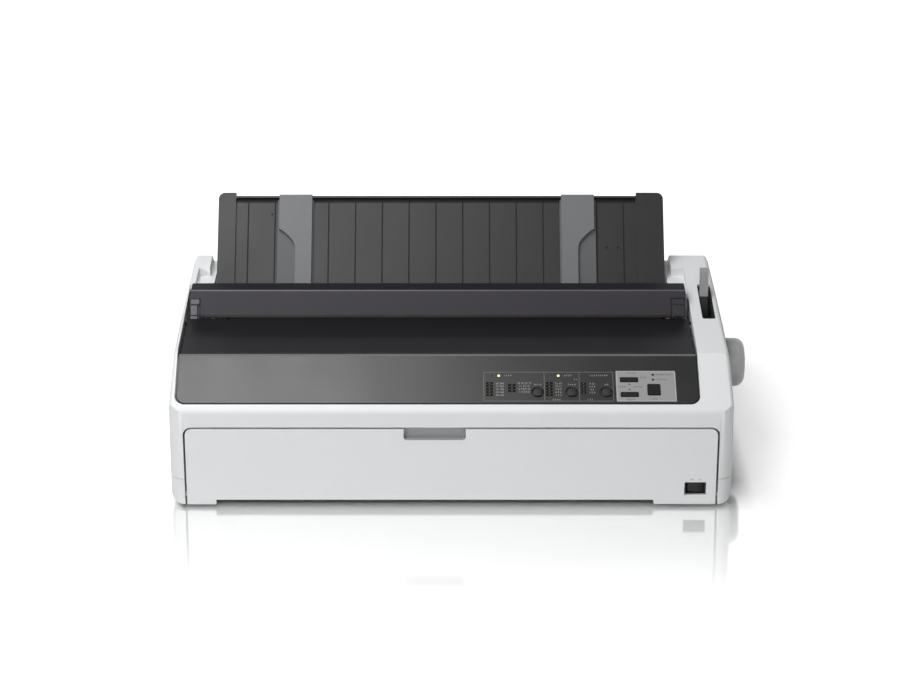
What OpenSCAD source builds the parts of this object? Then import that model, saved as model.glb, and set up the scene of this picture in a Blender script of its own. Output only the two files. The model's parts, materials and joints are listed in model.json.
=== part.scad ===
// Wide-carriage dot matrix printer, drawn as the separate pieces it is made of.
// Millimetres, +Z up, +X to the right and +Y to the back as seen from the front.
// Origin: middle of the footprint with the knob, on the floor.
// Inside place(), Y counts from the front face and Z from the underside of the case.

/* [Case] */
// Left side of the case
case_x0 = -319.5; // [-340:0.5:-300]
// Width of the case without the knob
case_w = 612; // [580:1:640]
// Depth of the case
case_d = 402; // [380:1:430]
// Height of the rubber feet
foot_h = 4; // [3:0.5:8]
// Wall of the moulded case
wall = 3; // [2:0.5:4]
// Radius of the standing corners
corner_r = 18; // [8:1:30]
// Radius of the edge between the sides and the underside
belly_r = 12; // [6:1:16]
// Inward lean of each side above the joint line, degrees
lean = 0.9; // [0:0.1:3]
// How much further each side comes in at the top of the rear corners
shoulder = 6; // [0:0.5:9]
// Height of the joint between the two case halves
split_z = 29.5; // [20:0.5:40]
// Left edge of the opening between the side arms
open_x0 = -312.1; // [-314:0.1:-302]
// Right edge of the opening between the side arms
open_x1 = 255.1; // [235:0.1:262]
// Slope of the tops of the side arms, degrees
arm_slope = 8.3; // [5:0.1:12]

/* [Front] */
// Slope of the control panel, degrees
fascia_a = 31; // [25:0.5:40]
// Length of the control panel up its slope
fascia_len = 67.8; // [60:0.1:75]
// Left edge of the front cover
door_x0 = -301.3; // [-303:0.1:-290]
// Right edge of the front cover
door_x1 = 274.3; // [260:0.1:276]
// Top of the front cover
door_top = 89; // [80:0.5:95]
// Gap around the front cover
door_gap = 2; // [1:0.25:3]

/* [Paper path] */
// Centre of the platen, from the front
platen_y = 180; // [170:1:190]
// Centre of the platen, from the underside
platen_z = 94; // [88:0.5:100]
// Radius of the platen
platen_r = 19; // [16:0.5:21]
// Left end of the platen
platen_x0 = -245; // [-250:1:-230]
// Right end of the platen
platen_x1 = 205; // [190:1:210]
// Radius of the platen shaft
shaft_r = 4; // [3:0.25:6]
// Running clearance on a radius
run = 0.05; // [0.02:0.01:0.1]
// Slope of the sheet guide, degrees
guide_a = 52.5; // [45:0.5:65]
// Length of the sheet guide up its slope
guide_len = 130; // [110:1:140]

/* [Gears] */
// Gear module
gear_m = 1; // [0.8:0.1:1.5]
// Teeth on the motor pinion
z_pinion = 12; // [10:1:16]
// Teeth on the feed idler
z_feed = 30; // [24:1:36]
// Teeth on the platen gear
z_platen = 40; // [32:1:48]
// Teeth on each tractor idler
z_idler = 50; // [44:1:54]
// Teeth on the tractor gear
z_tractor = 26; // [20:1:32]

/* [Hidden] */
$fn = 64;
e = 0.1;
case_x1 = case_x0 + case_w;
lean_t = tan(lean);
fas_y = 7.9;                       // lower edge of the control panel
fas_z = 115.5;
cov_y = fas_y + fascia_len * cos(fascia_a);
cov_z = fas_z + fascia_len * sin(fascia_a);
arm_t = tan(arm_slope);
edge_r = 5;                        // rounding of the top outer edges
arm_z0 = cov_z + 1.1;              // top of the arms at the cover's front edge
ear_y0 = 257.4;                    // front face of the rear corner blocks
ear_x0 = -292.4;                   // inner faces of the corner blocks
ear_x1 = 240.6;
arm_in = -305.4;                   // thicker rear end of the left arm
arm_y1 = 286;                      // where the arms end and the back starts to fall
arm_z1 = arm_z0 + (arm_y1 - cov_y) * arm_t;
fall = 35;                         // slope behind the corner blocks
tail = 17;                         // slope above the rear face
top_c = [arm_y1 + 10 * sin(arm_slope), arm_z1 - 10 * cos(arm_slope)];
fall_y = top_c[0] + 10 * sin(fall);
fall_z = top_c[1] + 10 * cos(fall);
dip_y = 330;
dip_z = fall_z - (dip_y - fall_y) * tan(fall);
tail_y = case_d - 20 + 20 * sin(tail);
tail_z = dip_z - (tail_y - dip_y) * tan(tail);
side_in = [[split_z, 0], [140, (140 - split_z) * lean_t], [156, (156 - split_z) * lean_t + 0.17 * shoulder],
  [170, (170 - split_z) * lean_t + 0.5 * shoulder], [186, (186 - split_z) * lean_t + shoulder],
  [200, (200 - split_z) * lean_t + 1.5 * shoulder]];
bay_x0 = -286;                     // open bay under the sheet guide
bay_x1 = 235;
ledge_z = 169.5;
rear_z = 134;                      // top of the low rear wall
guide_y = 230;                     // axis of the sheet guide
guide_z = 150;
ridge_a = 51.5;                    // front slope of the tension unit
lid_y = 149.5;                     // axis of the printer cover
lid_z = 153.5;
door_y = 8;                        // axis of the front cover
door_z = 9;
lever_y = 182;                     // axis of the release lever
lever_z = 120;
frame_x0 = -268;                   // inner faces of the steel side plates
frame_x1 = 228;
plate_t = 2;
rods = [[128, 78], [92, 78]];      // carriage rods
rod_r = 5;
tract_y = 312;                     // tractor shaft
tract_z = 104;
rail_y = 334;
head_x = -20;                      // middle of the printing line
belt_y = 104;
pul_x = [-248, 208];
pul_r = 8;
feed_a = 231.05;                   // where the feed idler sits around the platen
pinion_a = 224.4;                  // where the pinion sits around the feed idler
idler_a = 8;                       // where the first tractor idler sits
gear_x0 = 232;
gear_x1 = 238;

// Side-view place of a point s up the control panel and n above it
function fas_pt(s, n) = [fas_y + s * cos(fascia_a) - n * sin(fascia_a),
  fas_z + s * sin(fascia_a) + n * cos(fascia_a)];

// How far a side of the case has come in at height z, and where it then stands
function inset(z) = lookup(z, side_in);
function side_x(s, z) = s > 0 ? case_x1 - inset(z) : case_x0 + inset(z);

// Gear centres and the turn that puts each gear in mesh with the one before it
function at(c, r, a) = [c[0] + r * cos(a), c[1] + r * sin(a)];
function dir(p, q) = atan2(q[1] - p[1], q[0] - p[0]);
function mesh(ph, za, zb, a) = a + 180 + ((a - ph) * za / 360 - 0.5) * 360 / zb;
c_platen = [platen_y, platen_z];
c_feed = at(c_platen, gear_m * (z_platen + z_feed) / 2, feed_a);
c_pinion = at(c_feed, gear_m * (z_feed + z_pinion) / 2, pinion_a);
c_ia = at(c_platen, gear_m * (z_platen + z_idler) / 2, idler_a);
c_tract = [tract_y, tract_z];
d_it = norm(c_tract - c_ia);
r_ib = gear_m * z_idler;
r_bt = gear_m * (z_idler + z_tractor) / 2;
bend_it = acos((r_ib * r_ib + d_it * d_it - r_bt * r_bt) / (2 * r_ib * d_it));
c_ib = at(c_ia, r_ib, dir(c_ia, c_tract) - bend_it);
ph_feed = mesh(0, z_platen, z_feed, feed_a);
ph_pinion = mesh(ph_feed, z_feed, z_pinion, pinion_a);
ph_ia = mesh(0, z_platen, z_idler, idler_a);
ph_ib = mesh(ph_ia, z_idler, z_idler, dir(c_ia, c_ib));
ph_tract = mesh(ph_ib, z_idler, z_tractor, dir(c_ib, c_tract));

// Panel keys: x, distance up the panel
round_keys = [[79.9, 15.5], [116.7, 15.5], [154.2, 15.5]];
bar_keys = [[179, 32.1], [179, 12.3]];
square_key = [205.5, 18.7];
lit_leds = [[37.8, 37.6], [102.4, 37.6]];
dark_leds = [[30, 37.6], [94.5, 37.6], [204.8, 38.7], [204.8, 32.2]];
round_well = 6.75;

white = [0.86, 0.87, 0.88];
dark = [0.2, 0.2, 0.21];
smoke = [0.19, 0.18, 0.21];
slate = [0.26, 0.26, 0.28];
grey = [0.55, 0.56, 0.56];
steel = [0.66, 0.67, 0.69];
black = [0.1, 0.1, 0.11];
green = [0.1, 0.36, 0.22];

// ---------------------------------------------------------------- helpers
module place() translate([0, -case_d / 2, foot_h]) children();
module box(x0, x1, y0, y1, z0, z1) translate([x0, y0, z0]) cube([x1 - x0, y1 - y0, z1 - z0]);
module along_x(x0, x1) translate([x0, 0, 0]) rotate([90, 0, 90]) linear_extrude(x1 - x0) children();
module along_y(y0, y1) translate([0, y1, 0]) rotate([90, 0, 0]) linear_extrude(y1 - y0) children();
module along_z(z0, z1) translate([0, 0, z0]) linear_extrude(z1 - z0) children();
module rod_x(x0, x1, y, z, r) translate([x0, y, z]) rotate([0, 90, 0]) cylinder(h = x1 - x0, r = r);
module rod_y(x, y0, y1, z, r) translate([x, y0, z]) rotate([-90, 0, 0]) cylinder(h = y1 - y0, r = r);
module rod_z(x, y, z0, z1, r) translate([x, y, z0]) cylinder(h = z1 - z0, r = r);
module on_fascia() translate([0, fas_y, fas_z]) rotate([fascia_a, 0, 0]) children();
module on_guide() translate([0, guide_y, guide_z]) rotate([guide_a, 0, 0]) children();
module on_ridge() translate([0, 155.6, 157.2]) rotate([ridge_a, 0, 0]) children();
module on_arm() translate([0, cov_y, arm_z0]) rotate([arm_slope, 0, 0]) children();

// Rounded rectangle
module rr(x0, y0, x1, y1, r) {
  translate([x0 + r, y0]) square([x1 - x0 - 2 * r, y1 - y0]);
  translate([x0, y0 + r]) square([x1 - x0, y1 - y0 - 2 * r]);
  for (x = [x0 + r, x1 - r], y = [y0 + r, y1 - r]) translate([x, y]) circle(r);
}
function arc(cx, cy, r, a0, a1, n) = [for (i = [0:n])
  let (a = a0 + (a1 - a0) * i / n) [cx + r * cos(a), cy + r * sin(a)]];

// Side view, front view and plan of the case, each drawn i inside the outer face
module side_view(i) polygon(concat(
  [[i, -5]],
  arc(8, 106.2, 8 - i, 180, 90 + fascia_a, 6),
  [fas_pt(fascia_len, -i), [cov_y + 0.1 + 0.5 * i, arm_z0 - 1.02 * i]],
  arc(top_c[0], top_c[1], 10 - i, 90 + arm_slope, 90 - fall, 5),
  [[dip_y - 0.45 * i, dip_z - 0.91 * i]],
  arc(case_d - 20, tail_z - 20 * cos(tail), 20 - i, 90 - tail, 0, 6),
  [[case_d - i, -5]]));
module front_view(i) polygon(concat(
  arc(case_x0 + belly_r, belly_r, belly_r - i, 180, 270, 6),
  arc(case_x1 - belly_r, belly_r, belly_r - i, 270, 360, 6),
  [for (k = [0:5]) [case_x1 - i - side_in[k][1], side_in[k][0]]],
  [for (k = [5:-1:0]) [case_x0 + i + side_in[k][1], side_in[k][0]]]));
module envelope(i) intersection() {
  along_x(case_x0 - 1, case_x1 + 1) side_view(i);
  along_y(-1, case_d + 1) front_view(i);
  along_z(-1, 210) rr(case_x0 + i, i, case_x1 - i, case_d - i, corner_r - i);
}

// Gear with slim straight-sided teeth and backlash
function tooth(r) = [[r - 1.2 * gear_m, -0.33], [r, -0.215], [r + 0.9 * gear_m, -0.1],
  [r + 0.9 * gear_m, 0.1], [r, 0.215], [r - 1.2 * gear_m, 0.33]];
module gear2d(z, ph) polygon([for (k = [0:z - 1]) for (q = tooth(gear_m * z / 2))
  let (a = ph + (k + q[1]) * 360 / z) [q[0] * cos(a), q[0] * sin(a)]]);
module gear(c, z, ph, bore, hub, web) along_x(gear_x0, gear_x1) translate(c) difference() {
  gear2d(z, ph);
  circle(bore);
  if (web > 0) for (k = [0:5]) rotate(k * 60) translate([(hub + gear_m * z / 2) / 2, 0]) circle(web);
}

// ---------------------------------------------------------------- case
module lower_case() color(white) place() difference() {
  union() {
    intersection() {
      difference() { envelope(0); envelope(wall); }
      box(case_x0, case_x1, 0, case_d, 0, split_z);
    }
    // wall set back behind the front cover, and the cheeks that carry its pins
    box(door_x0 - 5, door_x1 + 5, 21, 24, 0, split_z);
    box(door_x0 - door_gap + 0.2, door_x1 + door_gap - 0.2, 21, 24, 20, 40);
    for (x = [door_x0 - 5, door_x1 + door_gap]) box(x, x + 3, wall, 24, 2, split_z);
    // posts for the steel base
    for (x = [-250, -90, 60, 210], y = [70, 200, 380]) rod_z(x, y, wall - e, 6, 6);
    // ribs across the floor
    for (y = [110, 290]) box(-300, 275, y, y + 2, wall - e, 5.5);
    for (x = [-285, 262]) box(x, x + 2, 60, 385, wall - e, 12);
  }
  // room for the front cover
  box(door_x0 - door_gap, door_x1 + door_gap, -1, 21, -1, 45);
  rod_x(door_x0 - 8, door_x0, door_y, door_z, 2.5 + run);
  rod_x(door_x1, door_x1 + 8, door_y, door_z, 2.5 + run);
  // power switch
  box(240.1, 263.3, 20, 25, 11, 25.9);
  // cooling slots in the floor and the screws that come up through it
  for (x = [-200:14:180]) along_z(-1, 4) rr(x, 240, x + 5, 280, 2.4);
  for (x = [-250, -90, 60, 210], y = [70, 200, 380]) {
    rod_z(x, y, -1, 7, 1.6);
    rod_z(x, y, -1, 2.2, 3.4);
  }
  // connector window, shared with the upper half
  box(-236, -96, case_d - 4, case_d + 1, 14, 40);
}

// Takes the sharp top edge off one side between two points of the side view
module edge_cut(p, q, s) {
  dx = side_x(s, q[1]) - side_x(s, p[1]);
  span = norm([dx, q[0] - p[0], q[1] - p[1]]);
  translate([side_x(s, p[1]), p[0], p[1]])
    rotate([asin((q[1] - p[1]) / span), 0, -atan2(dx, q[0] - p[0])]) difference() {
      translate([s > 0 ? -edge_r : -2, -1.5, -edge_r]) cube([edge_r + 2, span + 2, edge_r + 2]);
      translate([s > 0 ? -edge_r : edge_r, -2, -edge_r]) rotate([-90, 0, 0]) cylinder(h = span + 3, r = edge_r);
    }
}
module top_edge(s) {
  edge_cut([fas_y - 1, fas_z - tan(fascia_a)], [cov_y, cov_z], s);
  edge_cut([cov_y, arm_z0], [arm_y1, arm_z1], s);
  edge_cut([top_c[0] - 1.6, top_c[1] + 10.65], [top_c[0] + 6.2, top_c[1] + 8.8], s);
  edge_cut([fall_y, fall_z], [dip_y, dip_z], s);
  edge_cut([dip_y, dip_z], [tail_y, tail_z], s);
}

module upper_case() color(white) place() {
  difference() {
    union() {
      intersection() {
        difference() { envelope(0); envelope(wall); }
        box(case_x0, case_x1, 0, case_d, split_z + 0.4, 200);
      }
      intersection() {
        envelope(0);
        union() {
          // inner walls of the two side arms
          box(open_x1, open_x1 + 3, 12, 314, 118, 190);
          box(case_x0 + 2, open_x0, 12, 314, 118, 190);
          // thicker rear end of the left arm
          box(arm_in - 3, arm_in, 221, ear_y0 + 3, ledge_z - 3, 190);
          box(open_x0 - 2, arm_in, 221, 224, ledge_z - 3, 190);
          // ledges, corner blocks and the cheeks that hold the sheet guide
          for (s = [0, 1]) {
            box(s == 0 ? open_x0 - 2 : bay_x1, s == 0 ? bay_x0 : open_x1 + 2, 216, 314, ledge_z - 3, ledge_z);
            xc = s == 0 ? bay_x0 - 3 : bay_x1;
            box(xc, xc + 3, 216, 396, 128, ledge_z);
            xd = s == 0 ? ear_x0 - 3 : ear_x1;
            box(xd, xd + 3, ear_y0, 314, ledge_z - 3, 190);
            box(s == 0 ? arm_in - 2 : ear_x1, s == 0 ? ear_x0 : open_x1 + 2, ear_y0, ear_y0 + 3, ledge_z - 3, 190);
          }
          // low panel across the back of the bay
          box(bay_x0 - 3, bay_x1 + 3, 355, case_d, rear_z - 3, rear_z);
          box(bay_x0 - 3, bay_x1 + 3, 355, 358, 122, rear_z);
          // lips that carry the control panel
          on_fascia() {
            translate([open_x0 - 4, -4, -7]) cube([open_x1 - open_x0 + 8, 8, 3.8]);
            for (x = [open_x0 - 2.5, open_x1 - 6]) translate([x, -4, -7]) cube([8.5, fascia_len - 2, 3.8]);
          }
          // closed columns either side of the front cover
          for (x = [door_x0 - door_gap - 3, door_x1 + door_gap])
            box(x, x + 3, wall, 24, split_z + 0.4, door_top + 4);
          // pin that the release lever turns on
          rod_x(open_x1 + 2.9, 268, lever_y, lever_z, 6);
          rod_x(open_x1 + 2.9, 280, lever_y, lever_z, 3);
        }
      }
    }
    // opening for the panel, cover, tension unit and bay
    on_fascia() translate([0, 0, -3.2]) linear_extrude(60) rr(open_x0 + 0.05, -0.8, open_x1 - 0.05, 80, 12);
    along_x(open_x0, open_x1) polygon([fas_pt(14, -3.2), fas_pt(fascia_len - 6, -3.2), fas_pt(fascia_len - 6, -9),
      [fas_pt(fascia_len - 6, -9)[0], 100], [216.5, 100], [216.5, 210], [20, 210]]);
    box(open_x0, open_x1, 216, 221, ledge_z, 210);
    box(arm_in, open_x1, 220, ear_y0, ledge_z, 210);
    box(ear_x0, ear_x1, ear_y0 - 1, 330, ledge_z, 210);
    box(bay_x0, bay_x1, 200, 355, 100, 210);
    box(bay_x0, bay_x1, 350, case_d + 1, rear_z, 210);
    // front cover opening
    box(door_x0 - door_gap, door_x1 + door_gap, -1, 21, 0, door_top - 7.6 + door_gap);
    along_y(-1, 21) rr(door_x0 - door_gap, 20, door_x1 + door_gap, door_top + door_gap, 9.6);
    // softened top outer edges
    top_edge(1);
    top_edge(-1);
    // slot for the release lever
    on_arm() translate([0, 0, -10]) linear_extrude(20) rr(267.2, 75.5, 281.8, 155, 2.5);
    // printer cover pins, sheet guide pins, knob
    rod_x(open_x0 - 2.5, open_x0 + 1, lid_y, lid_z, 2 + run);
    rod_x(open_x1 - 1, open_x1 + 4, lid_y, lid_z, 2 + run);
    rod_x(bay_x0 - 4, bay_x1 + 4, guide_y, guide_z, 3 + run);
    rod_x(280, case_x1 + 1, platen_y, platen_z, 8.5);
    // rear paper slot, connector window, mains inlet, cooling slots
    along_y(case_d - 4, case_d + 1) rr(-232, 103, 192, 121, 3);
    box(-236, -96, case_d - 4, case_d + 1, 14, 40);
    box(210.8, 238.2, case_d - 4, case_d + 1, 35.8, 56.2);
    for (y = [250:12:340]) box(case_x0 - 1, case_x0 + 8, y, y + 5, 60, 95);
    for (x = [60:12:180]) box(x, x + 5, case_d - 4, case_d + 1, 62, 92);
  }
  // narrow ledge along the right arm beside the tension unit
  box(open_x1 - 3.6, open_x1 + 1, 190, 218, ledge_z - 3, ledge_z - 0.05);
}

module feet() color(black) place() for (x = [-290, 264], y = [42, 376]) {
  rod_z(x, y, -foot_h, 0, 9);
}

module case_screws() color(steel) place() for (x = [-250, -90, 60, 210], y = [70, 200, 380]) {
  rod_z(x, y, 0.4, 2.2, 3);
  rod_z(x, y, 2.2, 9.2, 1.5);
}

module lever_bezel() color(black) place() on_arm() difference() {
  translate([0, 0, -6.6]) linear_extrude(3.3) rr(263.8, 72, 283.2, 158.5, 3);
  translate([0, 0, -5]) linear_extrude(6) rr(265.6, 74, 282.4, 156.5, 2.5);
  translate([0, 0, -8]) linear_extrude(6) rr(267.8, 77, 279.6, 153.5, 2);
}

// ---------------------------------------------------------------- control panel
module key_holes(grow) {
  for (k = round_keys) translate(k) circle(round_well + grow);
  for (k = bar_keys) translate(k) rr(-9.6 - grow, -3 - grow, 9.6 + grow, 3 + grow, 1.2);
  translate(square_key) rr(-6.8 - grow, -7.3 - grow, 6.8 + grow, 7.3 + grow, 1.6);
}

module fascia() color(slate) place() on_fascia() difference() {
  union() {
    // rim that closes the gap around the panel from below
    translate([0, 0, -2.8]) linear_extrude(1.2) difference() {
      rr(open_x0 + 0.5, -0.3, open_x1 - 0.5, fascia_len + 20, 11.5);
      translate([open_x0 - 5, fascia_len]) square([600, 40]);
      translate([open_x0 + 8, 8]) square([open_x1 - open_x0 - 16, 48]);
    }
    translate([0, 0, -2.75]) linear_extrude(2.75) difference() {
      rr(open_x0 + 2, 1.2, open_x1 - 2, fascia_len + 20, 10);
      translate([open_x0 - 5, fascia_len - 0.05]) square([600, 40]);
      key_holes(0);
      for (k = concat(lit_leds, dark_leds)) translate(k) circle(1.4);
    }
    // stiffening ribs and board posts behind the panel
    for (s = [20, 44]) translate([-290, s, -6]) cube([290, 1.6, 3.3]);
    for (x = [22, 126, 222], s = [27, 48]) translate([x, s, -10.4]) cylinder(h = 7.7, r = 2.6);
  }
  for (x = [22, 126, 222], s = [27, 48]) translate([x, s, -11]) cylinder(h = 6, r = 1.1);
}

// Thin dark inlay with the framed lamp and key zone
module panel_inlay() color(black) place() on_fascia() linear_extrude(0.35) difference() {
  rr(20.7, 2.7, 162.4, 43, 1);
  key_holes(0.4);
  for (k = concat(lit_leds, dark_leds)) translate(k) circle(1.4);
}

// Silver plate around the bar and square keys
module panel_plate() color([0.66, 0.66, 0.66]) place() on_fascia() linear_extrude(0.45) difference() {
  rr(164.7, 3, 229.5, 44, 1);
  key_holes(0.4);
  for (k = concat(lit_leds, dark_leds)) translate(k) circle(1.4);
}

module status_leds() color([0.85, 0.92, 0.55]) place() on_fascia() for (k = concat(lit_leds, dark_leds))
  translate([k[0], k[1], -4]) cylinder(h = 4.6, r = 1.35);

module panel_board() color(green) place() on_fascia() difference() {
  union() {
    translate([16, 5, -12]) cube([214, 47, 1.6]);
    for (k = concat(round_keys, bar_keys, [square_key]))
      translate([k[0] - 3, k[1] - 3, -10.5]) cube([6, 6, 3.3]);
  }
  for (x = [22, 126, 222], s = [27, 48]) translate([x, s, -13]) cylinder(h = 4, r = 1.2);
}

module round_key(k) color(slate) place() on_fascia() translate([k[0], k[1], 0]) {
  translate([0, 0, -4.6]) cylinder(h = 3.4, r = round_well - 0.35);
  intersection() {
    translate([0, 0, -2]) linear_extrude(3.6) rr(-4.35, -5, 4.35, 5, 2.4);
    translate([0, 0, -29]) sphere(r = 30.4);
  }
  translate([0, 0, -5.8]) cylinder(h = 1.4, r = 2);
}
module bar_key(k) color(slate) place() on_fascia() translate([k[0], k[1], 0]) {
  translate([0, 0, -2.8]) linear_extrude(4.2) rr(-9.35, -2.75, 9.35, 2.75, 1);
  translate([0, 0, -3.8]) linear_extrude(0.9) rr(-10.6, -4, 10.6, 4, 1);
  translate([0, 0, -5.8]) cylinder(h = 2.2, r = 2);
}
module square_key_cap() color(slate) place() on_fascia() translate([square_key[0], square_key[1], 0]) {
  translate([0, 0, -2.8]) linear_extrude(4.4) rr(-6.5, -7, 6.5, 7, 1.4);
  translate([0, 0, -3.8]) linear_extrude(0.9) rr(-7.8, -8.2, 7.8, 8.2, 1);
  translate([0, 0, -5.8]) cylinder(h = 2.2, r = 2);
}
module key_round_left() round_key(round_keys[0]);
module key_round_middle() round_key(round_keys[1]);
module key_round_right() round_key(round_keys[2]);
module key_bar_upper() bar_key(bar_keys[0]);
module key_bar_lower() bar_key(bar_keys[1]);
module key_square() square_key_cap();

// ---------------------------------------------------------------- covers
module front_cover() color(white) place() difference() {
  union() {
    along_y(0, 3) difference() {
      union() {
        rr(door_x0, 5.4, door_x1, door_top, 7.6);
        translate([door_x0, 1]) square([door_x1 - door_x0, 30]);
      }
      // feet of the cover reach the floor line, the middle stays clear of it
      translate([-269.5, -1]) square([476, 6.4]);
    }
    for (x = [door_x0, 207.5]) box(x, x == door_x0 ? -270 : door_x1, 0, 3, 0, 2);
    // turned-in edges and ribs
    along_y(3, 9) difference() {
      rr(door_x0 + 0.1, 28, door_x1 - 0.1, door_top - 0.1, 7.5);
      rr(door_x0 + 2.5, 20, door_x1 - 2.5, door_top - 2.4, 5.2);
    }
    for (x = [-230:60:190]) box(x, x + 1.6, 2.9, 7, 10, door_top - 2);
    for (z = [32, 58]) box(door_x0 + 2, door_x1 - 2, 2.9, 6, z, z + 1.6);
    // grip pocket
    along_y(2, 12.5) rr(-67, 74, 4, door_top - 0.1, 4);
    box(-67, 4, 2, 12.5, 80, door_top - 0.1);
    // arms and pins of the hinge
    for (x = [door_x0, door_x1 - 4]) {
      rod_x(x, x + 4, door_y, door_z, 4);
      box(x, x + 4, 2, door_y, 5, 13);
    }
    rod_x(door_x0 - 5, door_x0 + 2, door_y, door_z, 2.5);
    rod_x(door_x1 - 2, door_x1 + 5, door_y, door_z, 2.5);
  }
  // hollow of the grip, open at the top
  along_y(-1, 10.5) rr(-65, 76, 2, 120, 4);
  // window for the power switch
  along_y(-1, 8) rr(240, 10.9, 263.4, 26, 0.8);
}

// Cover section: front band, shallow step, then the darker rear part
lid_x0 = open_x0 + 2.8;
lid_x1 = open_x1 - 2.7;
module printer_cover() color(smoke) place() difference() {
  union() {
    along_x(lid_x0, lid_x1) polygon([
      [cov_y + 2.4, cov_z - 2.2], [cov_y + 0.9, cov_z + 0.3], [104, 153.9], [105.6, 153.5], [152.6, 157.2],
      [153.4, 156.2], [153.4, 153.4], [151.5, 151.4], [146, 151], [142, 153.6], [105.6, 150.7],
      [70.6, 147.8], [70.6, 145.4], [69, 145.4]]);
    for (x = [lid_x0, lid_x1 - 2]) along_x(x, x + 2)
      polygon([[70.6, 142], [70.6, 149], [146, 154], [146, 145], [110, 142]]);
    for (x = [lid_x0, lid_x1 - 8]) rod_x(x, x + 8, lid_y, lid_z, 3.4);
    for (x = [-240:60:200]) along_x(x, x + 1.6) polygon([[70.6, 145.4], [70.6, 149], [142, 154], [142, 150.4]]);
    rod_x(open_x0 - 2, lid_x0 + 2, lid_y, lid_z, 2);
    rod_x(lid_x1 - 2, open_x1 + 2.5, lid_y, lid_z, 2);
  }
  box(open_x0, open_x1, 0, 300, 158.2, 200);
}

// Ridge behind the cover: front slope, flat top, hollow below
module ridge2d(i) polygon([
  [155.6 + 1.3 * i, 157.2 - i * 3], [155.9 + 1.3 * i, 158 - 0.2 * i],
  [175 + 0.45 * i, 182.2 - i], [177 + 0.3 * i, 183 - i],
  [198.6 - 0.6 * i, 183 - i], [200.4 - i, 181.4 - 0.6 * i], [200.4 - i, 157.2 - i * 3]]);
module tension_frame() color(slate) place() difference() {
  union() {
    difference() {
      along_x(-307.2, 250.4) ridge2d(0);
      along_x(-305.2, 248.4) ridge2d(2.2);
    }
    // legs that stand inside the side plates
    for (x = [frame_x0 + 0.5, frame_x1 - 3.5]) difference() {
      along_x(x, x + 3) polygon([[172, 176], [172, 140], [180, 112], [199, 112], [199, 178]]);
      rod_x(x - 1, x + 4, 190, 124, 3 + run);
    }
    for (x = [-200:80:200]) intersection() {
      along_x(x, x + 1.8) ridge2d(1.1);
      box(x - 1, x + 3, 150, 205, 163, 190);
    }
  }
  // pockets for the end tabs
  on_ridge() {
    translate([-308, -3, -1.5]) cube([12, 25.2, 9]);
    translate([233.5, -3, -1.5]) cube([18, 26.4, 9]);
  }
}

// Tabs that are squeezed to lift the unit off: left edge, width, start and end up the slope, height
tabs = [[-306.6, 7.4, 3, 15, 0.4], [-306.6, 9.8, 15.8, 21.8, 0.9], [-306.6, 8, -1.6, 2.2, 0.6],
  [235.6, 13.2, 2.2, 14.6, 0.4], [235.6, 13.2, 16.6, 23, -0.7]];
module tension_tabs() color(slate) place() on_ridge() for (t = tabs)
  translate([t[0], t[2], -1.45]) cube([t[1], t[3] - t[2], t[4] + 1.45]);

module tension_rollers() color(black) place() {
  rod_x(frame_x0 + 0.6, frame_x1 - 0.6, 190, 124, 3);
  for (x = [-235, -135, -35, 65, 165]) rod_x(x, x + 30, 190, 124, 8);
}

// Toothed strip along the back of the ridge, where paper is torn
module tear_off_blade() color(steel) place() translate([0, 200.45, 0]) rotate([90, 0, 0])
  mirror([0, 0, 1]) linear_extrude(0.8) polygon(concat(
    [[-290, 166], [-290, 180.2]],
    [for (k = [0:103]) for (q = [[0, 182.4], [2.5, 180.2]]) [-289 + 5 * k + q[0], q[1]]],
    [[236, 180.2], [236, 166]]));

// ---------------------------------------------------------------- sheet guide
guide_x0 = -283.8;
guide_x1 = 232.6;
field_x0 = -263.3;
field_x1 = 201.1;
field_t = 118.5;                   // top of the field, then a groove, then the top rail
rail_t = 126;
module guide2d() difference() {
  rr(guide_x0, -20, guide_x1, guide_len, 7.5);
  translate([guide_x0 - 5, -30]) square([600, 34]);
  translate([field_x0, rail_t]) square([field_x1 - field_x0, 20]);
}
module sheet_guide() color(dark) place() union() {
  on_guide() {
    difference() {
      union() {
        translate([0, 0, -2.5]) linear_extrude(2.5) guide2d();
        // side rims and top rail stand a little higher than the field
        translate([0, 0, -e]) linear_extrude(3 + e) difference() {
          guide2d();
          translate([field_x0, 0]) square([field_x1 - field_x0, field_t + 4.9]);
        }
      }
      // groove that the edge guides run in
      translate([field_x0 + 0.3, field_t, -1.6]) cube([field_x1 - field_x0 - 0.6, 4.9, 9]);
      // shallow grooves of the field, thumb hole and two dimples
      for (k = [0:14]) translate([-249.5 + 31.1 * k, 3, -0.8]) cube([1.2, field_t - 2, 2]);
      translate([-221.2, 104.1, -0.8]) cylinder(h = 3, r = 1.2);
      for (x = [166.7, 179.3]) translate([x, 63.6, -0.8]) cylinder(h = 3, r = 1.4);
    }
    // ribs behind the guide
    for (x = [guide_x0 + 2:102:guide_x1]) translate([x, 12, -8]) cube([2, 102, 5.6]);
    for (t = [12, 112]) translate([guide_x0 + 2, t, -8]) cube([512, 2, 5.6]);
    // arms down to the pins
    for (x = [guide_x0, guide_x1 - 8]) translate([x, 0, -2.5]) cube([8, 14, 5.5]);
  }
  for (x = [guide_x0, guide_x1 - 8]) rod_x(x, x + 8, guide_y, guide_z, 5);
  rod_x(guide_x0 - 5, guide_x0 + 1, guide_y, guide_z, 3);
  rod_x(guide_x1 - 1, guide_x1 + 5, guide_y, guide_z, 3);
}

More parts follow.
